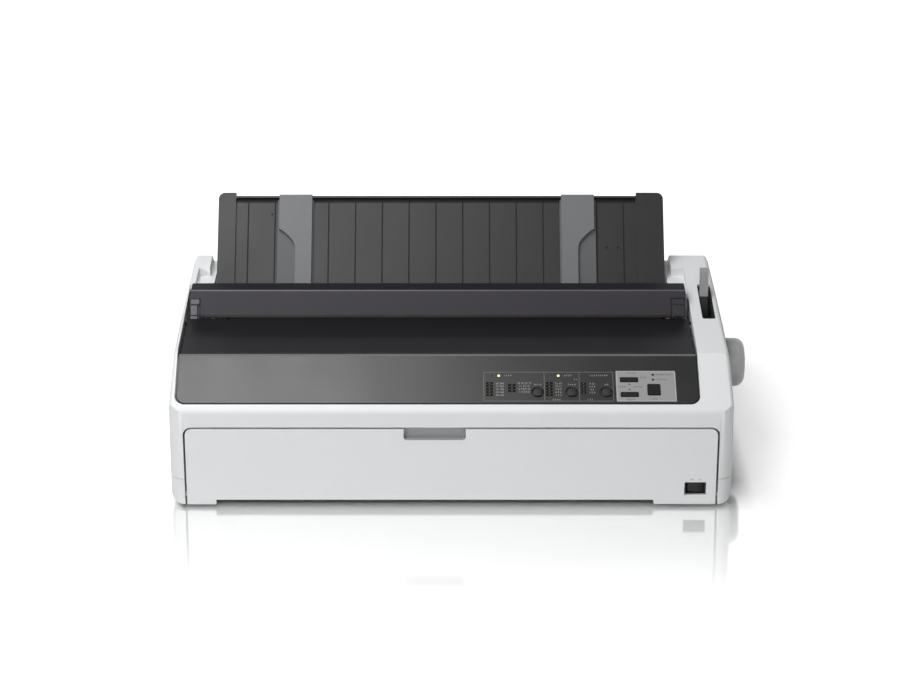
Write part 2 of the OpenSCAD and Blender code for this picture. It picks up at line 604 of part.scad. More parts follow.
// Edge guide: flat runner with a raised pad that steps back in an S, hooked over the top rail
pad_w = 38.3;
s_curve = [[0, 84.4], [3, 83.2], [8, 79.2], [13, 74], [16.4, 69.6], [18.2, 65], [18.8, 58.7], [18.8, 14]];
module edge_guide(xo, s) on_guide() {
  translate([0, 0, 0.15]) linear_extrude(1.6)
    polygon([[xo - 2 * s, 14], [xo + 40 * s, 14], [xo + 40 * s, 121], [xo - 2 * s, 121]]);
  translate([0, 0, 1.6]) linear_extrude(4.6) polygon(concat(
    [[xo + pad_w * s, 14], [xo + pad_w * s, 122], [xo, 122]], [for (p = s_curve) [xo + s * p[0], p[1]]]));
  along_x(min(xo, xo + pad_w * s), max(xo, xo + pad_w * s)) polygon([[121, 3.3], [121, 6.2], [rail_t + 0.4, 6.2],
    [rail_t + 1.5, 3.4], [rail_t + 1.5, -6.4], [rail_t - 4.5, -6.4], [rail_t - 4.5, -4.3], [rail_t + 0.2, -4.3],
    [rail_t + 0.2, 3.3]]);
}
module edge_guide_left() color(grey) place() edge_guide(-213, 1);
module edge_guide_right() color(grey) place() edge_guide(152.2, -1);

// ---------------------------------------------------------------- platen and feed train
module platen() color(black) place() difference() {
  rod_x(platen_x0, platen_x1, platen_y, platen_z, platen_r);
  rod_x(platen_x0 - 1, platen_x1 + 1, platen_y, platen_z, platen_r - 3.5);
}
module platen_shaft() color(steel) place() {
  rod_x(platen_x0, platen_x1, platen_y, platen_z, platen_r - 3.5);
  rod_x(frame_x0 - plate_t - 4, 312, platen_y, platen_z, shaft_r);
}
module platen_knob() color(grey) place() translate([0, platen_y, platen_z]) rotate([0, 90, 0]) difference() {
  rotate_extrude() polygon(concat(
    [[0, 287], [7.5, 287], [7.5, 294.6], [24, 294.6], [27.5, 296.5], [27.5, 308]],
    arc(17.5, 309.5, 10, 0, 90, 10), [[10, 319], [8, 317.6], [0, 317.6]]));
  translate([0, 0, 280]) cylinder(h = 32, r = shaft_r);
}
module platen_gear() color([0.8, 0.79, 0.74]) place() gear(c_platen, z_platen, 0, shaft_r, 6, 0);
module feed_idler() color([0.8, 0.79, 0.74]) place() gear(c_feed, z_feed, ph_feed, 3 + run, 5, 2.4);
module tractor_idler_front() color([0.8, 0.79, 0.74]) place() gear(c_ia, z_idler, ph_ia, 3 + run, 6, 4.5);
module tractor_idler_rear() color([0.8, 0.79, 0.74]) place() gear(c_ib, z_idler, ph_ib, 3 + run, 6, 4.5);
module motor_pinion() color([0.75, 0.6, 0.3]) place() {
  gear(c_pinion, z_pinion, ph_pinion, 0.01, 3, 0);
  rod_x(214, gear_x0 + 0.5, c_pinion[0], c_pinion[1], 2.5);
}
module tractor_shaft() color(steel) place() rod_x(frame_x0 - plate_t - 3, gear_x1 + 3, tract_y, tract_z, 4);
module tractor_gear() color([0.8, 0.79, 0.74]) place() gear(c_tract, z_tractor, ph_tract, 4, 6, 0);

module release_lever() color(grey) place() difference() {
  along_x(268.4, 276.8) polygon(concat(
    [[183.2, 160], [186.5, 172], [191, 198.6], [193, 200.4], [199.6, 200.4], [201.4, 198.6], [196.5, 172], [194, 160]],
    arc(lever_y, lever_z, 8, 15, -195, 14)));
  rod_x(267, 279, lever_y, lever_z, 3 + run);
  // finger grooves
  for (x = [270, 272.4, 274.8]) translate([x - 0.4, 180, 176]) rotate([-10.6, 0, 0]) cube([0.8, 12.2, 22]);
}

// ---------------------------------------------------------------- steel frame
module side_plate2d() difference() {
  polygon([[62, 8], [348, 8], [352, 12], [352, 118], [348, 122], [222, 122], [206, 108], [198, 108], [170, 122],
    [150, 122], [146, 128], [78, 128], [74, 124], [74, 60], [62, 40]]);
  translate(c_platen) circle(shaft_r + run);
  for (p = rods) translate(p) circle(rod_r);
  translate(c_tract) circle(4 + run);
  translate([rail_y, tract_z]) circle(3);
  translate(c_pinion) circle(5);
  translate([250, 50]) circle(16);
  translate([300, 50]) circle(16);
  rr(170, 24, 220, 54, 8);
}
module side_frame_left() color(steel) place() {
  along_x(frame_x0 - plate_t, frame_x0) side_plate2d();
  box(frame_x0 - 14, frame_x0 - plate_t + e, 66, 346, 8, 10);
}
module side_frame_right() color(steel) place() {
  along_x(frame_x1, frame_x1 + plate_t) side_plate2d();
  for (c = [c_feed, c_ia, c_ib]) {
    rod_x(frame_x1 + 1, gear_x1 + 2, c[0], c[1], 3);
  }
}
module base_frame() color(steel) place() difference() {
  union() {
    box(frame_x0 - 14, frame_x1 + 14, 60, 392, 6, 8);
    box(frame_x0 - 14, frame_x1 + 14, 60, 62, 6, 16);
    box(frame_x0 - 14, frame_x1 + 14, 390, 392, 6, 12);
  }
  for (x = [-250, -90, 60, 210], y = [70, 200, 380]) rod_z(x, y, 5, 10, 1.6);
  for (x = [-200:14:180]) along_z(5, 9) rr(x, 240, x + 5, 280, 2.4);
  for (x = [-170, 0, 120]) along_z(5, 9) rr(x - 30, 100, x + 30, 170, 8);
}
module carriage_rods() color([0.8, 0.81, 0.83]) place() for (p = rods)
  rod_x(frame_x0 - plate_t - 3, frame_x1 + plate_t + 3, p[0], p[1], rod_r);
module tractor_rail() color(steel) place()
  rod_x(frame_x0 - plate_t - 2, frame_x1 + plate_t + 2, rail_y, tract_z, 3);

// Ribbed guide from the front opening, round the under side of the platen, back to the tractors
module paper_guide() color(dark) place() {
  difference() {
    along_x(-228, 188) {
      polygon([[24.5, 42], [24.5, 44], [128, 56], [150, 64], [159.9, 77.4],
        [161.4, 76.4], [151.5, 62], [129, 53.9]]);
      intersection() {
        translate(c_platen) difference() { circle(26); circle(23.5); }
        polygon([c_platen, [140, 66], [150, 40], [210, 40], [212, 66]]);
      }
      polygon([[201.5, 79.4], [210, 84], [290, 97], [290, 95], [211, 82], [202.6, 77.6]]);
    }
    for (x = [-130, 60]) box(x, x + 30, 80, 110, 40, 60);
  }
  for (x = [-222:34:184]) along_x(x, x + 2) polygon([[30, 39], [30, 43], [126, 54.8], [126, 50]]);
  for (x = [-200, -20, 160]) box(x, x + 6, 214, 220, 8, 84);
  for (x = [-200, -20, 160]) box(x, x + 6, 112, 118, 8, 53);
}
// Wedge that parts the single-sheet path from the tractor path
module rear_guide() color(dark) place() difference() {
  along_x(frame_x0, frame_x1)
    polygon([[227, 142], [231, 142], [246, 126], [286, 118], [286, 115], [236, 112], [207, 105], [204, 108]]);
  along_x(frame_x0 + 2, frame_x1 - 2)
    polygon([[227.6, 138.5], [229.6, 138.5], [244, 123.6], [268, 119.2], [234, 114.6], [210, 108.6]]);
}

// ---------------------------------------------------------------- carriage
module carriage_motor() color(black) place() difference() {
  union() {
    rod_z(pul_x[0], belt_y, 20, 57, 19);
    box(pul_x[0] - 19.5, pul_x[0] + 21, belt_y - 21, belt_y + 21, 57, 59);
    box(pul_x[0] - 10, pul_x[0] + 10, belt_y - 21, belt_y - 19, 8, 58);
  }
  rod_z(pul_x[0], belt_y, 40, 60, 2.5 + run);
}
module pulley(x, z0) {
  rod_z(x, belt_y, 61.5, 70.5, pul_r - 0.1);
  rod_z(x, belt_y, 60, 61.2, pul_r + 2.2);
  rod_z(x, belt_y, 61, 61.6, pul_r - 0.1);
  rod_z(x, belt_y, z0, 61, 2.5);
}
module drive_pulley() color(steel) place() pulley(pul_x[0], 42);
module idler_pulley() color(steel) place() pulley(pul_x[1], 48);
module idler_bracket() color(steel) place() difference() {
  union() {
    box(pul_x[1] - 14, frame_x1, belt_y - 12, belt_y + 12, 54, 57);
    box(frame_x1 - 3, frame_x1, belt_y - 12, belt_y + 12, 44, 57);
    rod_z(pul_x[1], belt_y, 47, 55, 6);
  }
  rod_z(pul_x[1], belt_y, 40, 60, 2.5 + run);
}
module timing_belt() color(black) place() along_z(62, 69.5) difference() {
  union() {
    for (x = pul_x) translate([x, belt_y]) circle(pul_r + 1);
    translate([pul_x[0], belt_y - pul_r - 1]) square([pul_x[1] - pul_x[0], 2 * pul_r + 2]);
  }
  for (x = pul_x) translate([x, belt_y]) circle(pul_r);
  translate([pul_x[0], belt_y - pul_r]) square([pul_x[1] - pul_x[0], 2 * pul_r]);
}
module carriage() color(dark) place() difference() {
  union() {
    box(head_x - 25, head_x + 25, 86, 137, 71, 87);
    for (p = rods) rod_x(head_x - 27, head_x + 27, p[0], p[1], 7.6);
    box(head_x - 12, head_x + 12, 91.5, 99, 59.5, 72);
  }
  for (p = rods) rod_x(head_x - 30, head_x + 30, p[0], p[1], rod_r + run);
  box(head_x - 13, head_x + 13, 94.6, 96.4, 61.7, 69.8);
}
module print_head() color(steel) place() {
  box(head_x - 18, head_x + 18, 112, 146, 87, 91);
  along_y(112, 148) difference() {
    translate([head_x - 17, 90.9]) square([34, 21]);
    for (k = [0:5]) translate([head_x - 14.6 + 5.2 * k, 97]) square([2.6, 20]);
  }
  along_x(head_x - 9, head_x + 9)
    polygon([[148 - e, 86.5], [148 - e, 105], [152, 104], [158.6, 99], [158.6, 89], [153, 86.5]]);
}
module ribbon_cartridge() color(black) place() {
  difference() {
    union() {
      along_z(100, 121) rr(-255, 60, 215, 99, 5);
      for (x = [-255, 199]) {
        box(x, x + 16, 90, 150, 100, 121);
        box(x, x + 16, 134, 150, 86, 121);
        box(x == -255 ? x + 8 : x, x == -255 ? x + 16 : x + 8, 148, 159.3, 86, 103);
      }
    }
    along_z(99, 118.6) rr(-252, 63, 212, 96, 3);
  }
  rod_z(150, 80, 120.9, 127, 9);
  box(150 - 1.2, 150 + 1.2, 72, 88, 126.9, 129);
  for (x = [-200, 120]) box(x, x + 12, 64, 92, 120.9, 122.4);
}
module ribbon_band() color(black) place() box(-247, 207, 159.2, 159.6, 87.5, 100.5);

// ---------------------------------------------------------------- tractors
module tractor(x) color(dark) place() difference() {
  union() {
    along_x(x - 8, x + 8)
      polygon([[298, 98], [302, 92], [342, 92], [348, 98], [348, 108], [344, 111], [300, 111], [296, 108]]);
    for (k = [0:4]) rod_z(x, 302 + 9.5 * k, 110.9, 113.5, 1.6);
    // hinged-lid ears and locking tab
    box(x - 8, x - 4, 318, 326, 110, 118);
    box(x - 8, x + 8, 318, 326, 116.5, 118.5);
    box(x - 8, x + 8, 300, 344, 115.5, 117);
    box(x + 5, x + 8, 346, 356, 98, 104);
  }
  rod_x(x - 9, x + 9, tract_y, tract_z, 4 + run);
  rod_x(x - 9, x + 9, rail_y, tract_z, 3 + run);
}
module tractor_left() tractor(-190);
module tractor_right() tractor(130);

// ---------------------------------------------------------------- electrics
module feed_motor() color(black) place() difference() {
  union() {
    rod_x(196, frame_x1 - 2, c_pinion[0], c_pinion[1], 18);
    box(frame_x1 - 2, frame_x1, c_pinion[0] - 20, c_pinion[0] + 20, c_pinion[1] - 20, c_pinion[1] + 14);
  }
  rod_x(210, frame_x1 + 1, c_pinion[0], c_pinion[1], 2.5 + run);
}
module main_board() color(green) place() {
  box(-250, 30, 236, 388, 14, 15.6);
  for (p = [[-220, 270, 30, 30, 3], [-160, 290, 22, 22, 3], [-60, 300, 18, 34, 4], [-110, 250, 40, 14, 6],
      [0, 260, 16, 16, 12]])
    box(p[0], p[0] + p[2], p[1], p[1] + p[3], 15.5, 15.5 + p[4]);
  for (x = [-30, -10, 10]) rod_z(x, 350, 15.5, 34, 7);
  for (x = [-244, -110, 24], y = [242, 380]) rod_z(x, y, 8, 14.1, 3);
}
module power_supply() color(steel) place() difference() {
  box(52, 204, 232, 386, 8, 62);
  box(54, 202, 234, 384, 10, 60);
  rod_z(60, 380, 7, 11, 1.8);
  for (x = [66:12:190], y = [250, 310]) along_z(59, 63) rr(x, y, x + 5, y + 44, 2.4);
}
module ac_inlet() color(black) place() difference() {
  union() {
    box(211, 238, 384.5, 403 - 1.2, 36, 56);
    box(208.5, 240.5, case_d - 4.6, case_d - wall - 0.1, 33, 59);
  }
  along_y(388, 404) rr(214, 38.6, 235, 53.4, 2.2);
}
module inlet_pins() color(steel) place() {
  for (p = [[219.5, 44.6], [229.5, 44.6], [224.5, 49]])
    box(p[0] - 1, p[0] + 1, 386, 398, p[1] - 2, p[1] + 2);
}
module data_connectors() color(steel) place() {
  difference() {
    box(-235, -97, case_d - 6, case_d - 4.4, 13, 39);
    along_y(case_d - 8, case_d) {
      rr(-222, 17.4, -164, 30.6, 2);
      rr(-142, 17.4, -129.6, 28.6, 0.8);
    }
  }
  difference() {
    along_y(case_d - 22, case_d - 1.5) rr(-221.8, 17.6, -164.2, 30.4, 2);
    along_y(case_d - 14, case_d) rr(-220, 19.4, -166, 28.6, 1.6);
  }
  box(-214, -172, case_d - 14.1, case_d - 5, 22.4, 25.6);
  difference() {
    along_y(case_d - 22, case_d - 2) rr(-141.8, 17.6, -129.8, 28.4, 0.7);
    along_y(case_d - 16, case_d) rr(-140.4, 19, -131.2, 27, 0.4);
  }
  box(-138.4, -133.2, case_d - 16.1, case_d - 4, 21, 24.6);
}
module switch_body() color(black) place() difference() {
  union() {
    box(240.3, 263.1, 4, 38, 11.2, 25.7);
    box(236, 267, 24.1, 26, 8, 29);
  }
  box(242, 261.2, 3, 17, 12.2, 24.7);
  rod_z(252, 13, 11.4, 25.4, 1.5 + run);
}
module power_rocker() color(black) place() {
  along_z(12.4, 24.5)
    polygon([[243.4, 6.4], [253.4, 4.3], [260.6, 5.6], [260.6, 12], [256, 14.5], [248, 14.5], [243.4, 12]]);
  rod_z(252, 13, 11.6, 25.2, 1.5);
}

lower_case();
upper_case();
feet();
case_screws();
lever_bezel();
fascia();
panel_inlay();
panel_plate();
status_leds();
panel_board();
key_round_left();
key_round_middle();
key_round_right();
key_bar_upper();
key_bar_lower();
key_square();
front_cover();
printer_cover();
tension_frame();
tension_tabs();
tension_rollers();
tear_off_blade();
sheet_guide();
edge_guide_left();
edge_guide_right();
platen();
platen_shaft();
platen_knob();
platen_gear();
feed_idler();
tractor_idler_front();
tractor_idler_rear();
motor_pinion();
tractor_shaft();
tractor_gear();
release_lever();
side_frame_left();
side_frame_right();
base_frame();
carriage_rods();
tractor_rail();
paper_guide();
rear_guide();
carriage_motor();
drive_pulley();
idler_pulley();
idler_bracket();
timing_belt();
carriage();
print_head();
union() { ribbon_cartridge(); ribbon_band(); }
tractor_left();
tractor_right();
feed_motor();
main_board();
power_supply();
union() { ac_inlet(); inlet_pins(); }
data_connectors();
switch_body();
power_rocker();
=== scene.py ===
"""Looks of a wide-carriage dot matrix printer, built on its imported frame.

Sizes are millimetres in the printer's own measures: X to the right from the middle of the
footprint, Y back from the front face and Z up from the underside of the case. A piece is
modelled there, or on one of the sloping planes of Plane, and put in its place when it is done.
"""
import json
import logging
from dataclasses import dataclass, field
from enum import Enum
from math import cos, pi, radians, sin
from typing import Callable, Iterable, Optional, Sequence

import bmesh
import bpy
import numpy as np
from mathutils import Matrix, Vector

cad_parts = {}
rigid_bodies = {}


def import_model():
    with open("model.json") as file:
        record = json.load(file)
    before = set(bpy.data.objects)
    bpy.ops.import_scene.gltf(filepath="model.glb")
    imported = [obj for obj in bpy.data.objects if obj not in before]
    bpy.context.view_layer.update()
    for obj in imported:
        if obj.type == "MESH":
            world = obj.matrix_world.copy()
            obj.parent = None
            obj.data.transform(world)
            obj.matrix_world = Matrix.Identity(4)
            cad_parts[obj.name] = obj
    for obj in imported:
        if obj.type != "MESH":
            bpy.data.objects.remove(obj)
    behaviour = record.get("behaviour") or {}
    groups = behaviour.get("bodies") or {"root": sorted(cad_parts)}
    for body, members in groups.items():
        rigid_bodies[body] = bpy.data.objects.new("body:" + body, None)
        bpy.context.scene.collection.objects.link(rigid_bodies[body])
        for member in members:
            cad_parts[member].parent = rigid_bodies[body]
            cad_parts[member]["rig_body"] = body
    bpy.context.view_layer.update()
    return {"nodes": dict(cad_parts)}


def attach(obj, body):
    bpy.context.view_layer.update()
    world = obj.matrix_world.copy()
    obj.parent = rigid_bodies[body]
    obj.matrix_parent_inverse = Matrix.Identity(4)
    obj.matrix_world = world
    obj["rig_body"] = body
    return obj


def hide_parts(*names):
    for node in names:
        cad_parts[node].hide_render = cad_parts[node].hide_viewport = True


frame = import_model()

logging.basicConfig(level=logging.INFO, format="%(message)s")
LOG = logging.getLogger("printer")

MM = 0.001
CASE_DEPTH = 402.0
FOOT_HEIGHT = 4.0
SMOOTH_ANGLE = radians(32)
SHARP_ANGLE = radians(34)
INK_THICKNESS = 0.06

Point = tuple[float, float]
Where = Callable[[Vector], bool]


class Plane(Enum):
    """A plane that details are laid out on: Y and Z of its origin, and its slope in degrees."""

    CASE = (0.0, 0.0, 0.0)
    FASCIA = (7.9, 115.5, 31.0)
    ARM = (66.016, 151.52, 8.3)
    GUIDE = (230.0, 150.0, 52.5)
    RIDGE = (155.6, 157.2, 51.5)
    FRONT = (0.0, 0.0, 90.0)

    @property
    def matrix(self) -> Matrix:
        """Takes a point of this plane, in millimetres, to the printer's frame in metres."""
        y, z, slope = self.value
        place = Matrix.Translation((0, y - CASE_DEPTH / 2, z + FOOT_HEIGHT))
        return Matrix.Scale(MM, 4) @ place @ Matrix.Rotation(radians(slope), 4, "X")


# ------------------------------------------------------------------ finishes
def linear(colour: str, alpha: float = 1.0) -> tuple[float, float, float, float]:
    """Turns an sRGB hex colour to Blender's linear values.

    Args:
        colour: Six hex digits after a #.
        alpha: Opacity that goes with it.

    Returns:
        Red, green, blue and alpha.
    """
    parts = [int(colour[i : i + 2], 16) / 255 for i in (1, 3, 5)]
    red, green, blue = (c / 12.92 if c <= 0.04045 else ((c + 0.055) / 1.055) ** 2.4 for c in parts)
    return red, green, blue, alpha


def add_node(tree: bpy.types.NodeTree, kind: str, links: Optional[dict] = None,
             **settings: object) -> bpy.types.Node:
    """Adds a node, sets it and links its inputs.

    Args:
        tree: Node tree of the material.
        kind: Node type without its ShaderNode prefix.
        links: Output socket to join to each input, by the input's name or number.
        **settings: Properties of the node, or values of its inputs with spaces as underscores.

    Returns:
        The node.
    """
    node = tree.nodes.new("ShaderNode" + kind)
    for name, value in settings.items():
        if hasattr(node, name):
            setattr(node, name, value)
        else:
            node.inputs[name.replace("_", " ")].default_value = value
    for name, output in (links or {}).items():
        tree.links.new(output, node.inputs[name])
    return node


@dataclass(frozen=True)
class Finish:
    """A surface of the printer: what it is made of and how it was made."""

    name: str
    slot: str
    colour: str
    roughness: float = 0.5

    def start(self) -> tuple[bpy.types.Material, bpy.types.NodeTree, bpy.types.Node, bpy.types.NodeSocket]:
        """Makes an empty material with a surface shader.

        Returns:
            The material, its node tree, its shader and the socket of object coordinates.
        """
        material = bpy.data.materials.new(self.name)
        material.use_nodes = True
        material.diffuse_color = linear(self.colour)
        tree = material.node_tree
        shader = tree.nodes["Principled BSDF"]
        shader.inputs["Base Color"].default_value = linear(self.colour)
        shader.inputs["Roughness"].default_value = self.roughness
        place = add_node(tree, "TexCoord").outputs["Object"]
        return material, tree, shader, place

    def make(self) -> bpy.types.Material:
        """Builds the material once, and gives the same one after that."""
        found = bpy.data.materials.get(self.name)
        return found or self.build()

    def build(self) -> bpy.types.Material:
        """Builds the material."""
        raise NotImplementedError


@dataclass(frozen=True)
class MouldedPlastic(Finish):
    """Injection-moulded ABS. A fine spark-eroded grain breaks up its highlights. Lengths are millimetres."""

    flow_mark: float = 70.0
    fleck: float = 1.6
    grain: float = 0.9
    relief: float = 0.02
    shade: float = 0.05
    gloss: float = 0.5
    clear: float = 0.0

    def build(self) -> bpy.types.Material:
        """Builds the plastic: grain as bump, slow flow marks in colour and roughness."""
        material, tree, shader, place = self.start()
        flow = add_node(tree, "TexNoise", {"Vector": place}, Scale=1 / (self.flow_mark * MM),
                        Detail=3.0).outputs["Fac"]
        speck = add_node(tree, "TexNoise", {"Vector": place}, Scale=1 / (self.fleck * MM),
                         Detail=2.0).outputs["Fac"]
        both = add_node(tree, "Math", {0: flow, 1: speck}, operation="ADD").outputs[0]
        tone = add_node(tree, "MapRange", {"Value": both}, From_Min=0.6, From_Max=1.4,
                        To_Min=1 - self.shade, To_Max=1 + self.shade).outputs[0]
        tint = add_node(tree, "VectorMath", {"Scale": tone}, operation="SCALE")
        tint.inputs[0].default_value = linear(self.colour)[:3]
        tree.links.new(tint.outputs[0], shader.inputs["Base Color"])
        dull = add_node(tree, "MapRange", {"Value": flow}, From_Min=0.3, From_Max=0.7,
                        To_Min=self.roughness - 0.03, To_Max=self.roughness + 0.03).outputs[0]
        tree.links.new(dull, shader.inputs["Roughness"])
        grain = add_node(tree, "TexNoise", {"Vector": place}, Scale=1 / (self.grain * MM), Detail=2.0,
                         Roughness=0.55).outputs["Fac"]
        bump = add_node(tree, "Bump", {"Height": grain}, Strength=0.35, Distance=self.relief * MM)
        tree.links.new(bump.outputs[0], shader.inputs["Normal"])
        shader.inputs["Specular IOR Level"].default_value = self.gloss
        shader.inputs["IOR"].default_value = 1.53
        shader.inputs["Coat Weight"].default_value = self.clear
        shader.inputs["Coat Roughness"].default_value = 0.18
        return material


@dataclass(frozen=True)
class SheetMetal(Finish):
    """Zinc-plated or ground steel. Rolling lines run along it and the plating has faint spangles."""

    lines: tuple[float, float, float] = (0.03, 1.0, 1.0)
    line_gap: float = 1.2
    spangle: float = 0.05

    def build(self) -> bpy.types.Material:
        """Builds the metal: stretched noise for the rolling lines, cells for the plating."""
        material, tree, shader, place = self.start()
        stretched = add_node(tree, "Mapping", {"Vector": place})
        stretched.inputs["Scale"].default_value = self.lines
        lines = add_node(tree, "TexNoise", {"Vector": stretched.outputs[0]}, Scale=1 / (self.line_gap * MM),
                         Detail=3.0).outputs["Fac"]
        cells = add_node(tree, "TexVoronoi", {"Vector": place}, Scale=1 / (7 * MM)).outputs["Color"]
        cell = add_node(tree, "SeparateColor", {"Color": cells}).outputs[0]
        tone = add_node(tree, "MapRange", {"Value": cell}, To_Min=1 - self.spangle, To_Max=1.0).outputs[0]
        tint = add_node(tree, "VectorMath", {"Scale": tone}, operation="SCALE")
        tint.inputs[0].default_value = linear(self.colour)[:3]
        tree.links.new(tint.outputs[0], shader.inputs["Base Color"])
        dull = add_node(tree, "MapRange", {"Value": lines}, From_Min=0.3, From_Max=0.7,
                        To_Min=self.roughness - 0.06, To_Max=self.roughness + 0.08).outputs[0]
        tree.links.new(dull, shader.inputs["Roughness"])
        bump = add_node(tree, "Bump", {"Height": lines}, Strength=0.2, Distance=0.01 * MM)
        tree.links.new(bump.outputs[0], shader.inputs["Normal"])
        shader.inputs["Metallic"].default_value = 1.0
        return material


@dataclass(frozen=True)
class Rubber(Finish):
    """Ground rubber, matt and slightly dusty."""

    def build(self) -> bpy.types.Material:
        """Builds the rubber: coarse dust in its colour, fine grinding marks as bump."""
        material, tree, shader, place = self.start()
        dust = add_node(tree, "TexNoise", {"Vector": place}, Scale=1 / (9 * MM), Detail=4.0).outputs["Fac"]
        tone = add_node(tree, "MapRange", {"Value": dust}, To_Min=0.75, To_Max=1.35).outputs[0]
        tint = add_node(tree, "VectorMath", {"Scale": tone}, operation="SCALE")
        tint.inputs[0].default_value = linear(self.colour)[:3]
        tree.links.new(tint.outputs[0], shader.inputs["Base Color"])
        fine = add_node(tree, "TexNoise", {"Vector": place}, Scale=1 / (0.6 * MM),
                        Detail=2.0).outputs["Fac"]
        bump = add_node(tree, "Bump", {"Height": fine}, Strength=0.4, Distance=0.03 * MM)
        tree.links.new(bump.outputs[0], shader.inputs["Normal"])
        return material


@dataclass(frozen=True)
class CircuitBoard(Finish):
    """Glass-fibre board under green solder mask. Copper tracks show through as lighter lines."""

    def build(self) -> bpy.types.Material:
        """Builds the board: brick joints stand for its tracks."""
        material, tree, shader, place = self.start()
        tracks = add_node(tree, "TexBrick", {"Vector": place}, Scale=1 / (14 * MM), Mortar_Size=0.05,
                          Color1=linear(self.colour), Color2=linear("#0e4a2d"), Mortar=linear("#3f8a5c"))
        tree.links.new(tracks.outputs["Color"], shader.inputs["Base Color"])
        bump = add_node(tree, "Bump", {"Height": tracks.outputs["Fac"]}, Strength=0.3, Distance=0.04 * MM)
        tree.links.new(bump.outputs[0], shader.inputs["Normal"])
        shader.inputs["Coat Weight"].default_value = 0.4
        return material


@dataclass(frozen=True)
class LitLens(Finish):
    """Diffused lamp lens with its chip alight."""

    glow: float = 1.6

    def build(self) -> bpy.types.Material:
        """Builds the lens: a tinted body that gives light."""
        material, tree, shader, place = self.start()
        cloud = add_node(tree, "TexNoise", {"Vector": place}, Scale=1 / (1.2 * MM)).outputs["Fac"]
        tone = add_node(tree, "MapRange", {"Value": cloud}, To_Min=0.85, To_Max=1.0).outputs[0]
        tint = add_node(tree, "VectorMath", {"Scale": tone}, operation="SCALE")
        tint.inputs[0].default_value = linear(self.colour)[:3]
        tree.links.new(tint.outputs[0], shader.inputs["Base Color"])
        tree.links.new(tint.outputs[0], shader.inputs["Emission Color"])
        shader.inputs["Emission Strength"].default_value = self.glow
        return material


@dataclass(frozen=True)
class PrintedInk(Finish):
    """Screen-printed ink, slightly uneven where the mesh left it thin."""

    gloss: float = 0.3

    def build(self) -> bpy.types.Material:
        """Builds the ink: its coverage varies by a few per cent."""
        material, tree, shader, place = self.start()
        mesh = add_node(tree, "TexNoise", {"Vector": place}, Scale=1 / (0.8 * MM),
                        Detail=2.0).outputs["Fac"]
        tone = add_node(tree, "MapRange", {"Value": mesh}, To_Min=0.85, To_Max=1.1).outputs[0]
        tint = add_node(tree, "VectorMath", {"Scale": tone}, operation="SCALE")
        tint.inputs[0].default_value = linear(self.colour)[:3]
        tree.links.new(tint.outputs[0], shader.inputs["Base Color"])
        shader.inputs["Specular IOR Level"].default_value = self.gloss
        return material


CASE_WHITE = MouldedPlastic("Cool white moulded ABS", "case_white", "#dcdedf", 0.46, shade=0.012, gloss=0.4)
PANEL_DARK = MouldedPlastic("Dark satin panel polycarbonate",
                            "panel_dark", "#19191a", 0.34, grain=0.7, gloss=0.6)
# Painted highlight along the upper edge of the panel's moulding.
PANEL_HIGHLIGHT = MouldedPlastic("Painted highlight on the panel's upper edge",
                            "panel_dark", "#636364", 0.5, grain=0.7, gloss=0.15)
COVER_SMOKE = MouldedPlastic("Smoke tinted cover styrene",
                             "cover_smoke", "#1b1a1f", 0.34, grain=1.4, gloss=0.16)
# Painted shade on the printer cover behind its step, where the dark inside shows through the tint.
COVER_SHADE = MouldedPlastic("Smoke tinted cover styrene with painted shade",
                            "cover_smoke", "#131216", 0.36, grain=1.4, gloss=0.16)
RIDGE_SLATE = MouldedPlastic("Slate moulded tension cover", "ridge_slate", "#38363c", 0.44, gloss=0.12)
# Painted shade on the flat top of the tension cover.
RIDGE_SHADE = MouldedPlastic("Painted shade on the ridge top", "ridge_slate", "#201f24", 0.6, gloss=0.1)
# Painted highlight along the tension cover's front edge.
RIDGE_HIGHLIGHT = MouldedPlastic("Painted highlight on the ridge edge", "ridge_slate", "#5b5a60", 0.3, gloss=0.3)
GUIDE_CHARCOAL = MouldedPlastic("Charcoal moulded sheet guide",
                                "guide_charcoal", "#1d1d1e", 0.42, grain=0.8, gloss=0.38)
EDGE_GREY = MouldedPlastic("Mid grey moulded edge guide", "edge_guide_grey", "#6b6d6f", 0.45, gloss=0.3)
EDGE_DEEP = MouldedPlastic("Dark grey edge guide base", "edge_guide_grey", "#57595b", 0.5, gloss=0.3)
# Painted highlight on the left lifting tabs.
TAB_HIGHLIGHT = MouldedPlastic("Painted highlight on the left lifting tabs", "ridge_slate", "#57565b", 0.44, gloss=0.3)
LEVER_GREY = MouldedPlastic("Mid grey moulded finger cap", "knob_grey", "#8a8b8c", 0.45)
KNOB_GREY = MouldedPlastic("Light grey moulded knob", "knob_grey", "#b2b2b2", 0.4)
PLATE_SILVER = MouldedPlastic("Silver painted key plate",
                              "plate_silver", "#8e8e8e", 0.38, grain=0.5, gloss=0.7)
KEY_GREY = MouldedPlastic("Charcoal moulded key cap", "key_grey", "#2b2b2c", 0.5, grain=0.6, gloss=0.25)
KEY_BLACK = MouldedPlastic("Black moulded key cap", "key_grey", "#161617", 0.5, grain=0.6, gloss=0.2)
BLACK_PLASTIC = MouldedPlastic("Black moulded nylon",
                               "black_plastic", "#131314", 0.42, grain=0.8, gloss=0.25)
GEAR_NYLON = MouldedPlastic("Cream moulded gear nylon", "gear_nylon", "#cfcabb", 0.48, grain=1.1)
POCKET_GREY = MouldedPlastic("Light grey grip pocket", "case_white", "#a9abac", 0.55, shade=0.02)
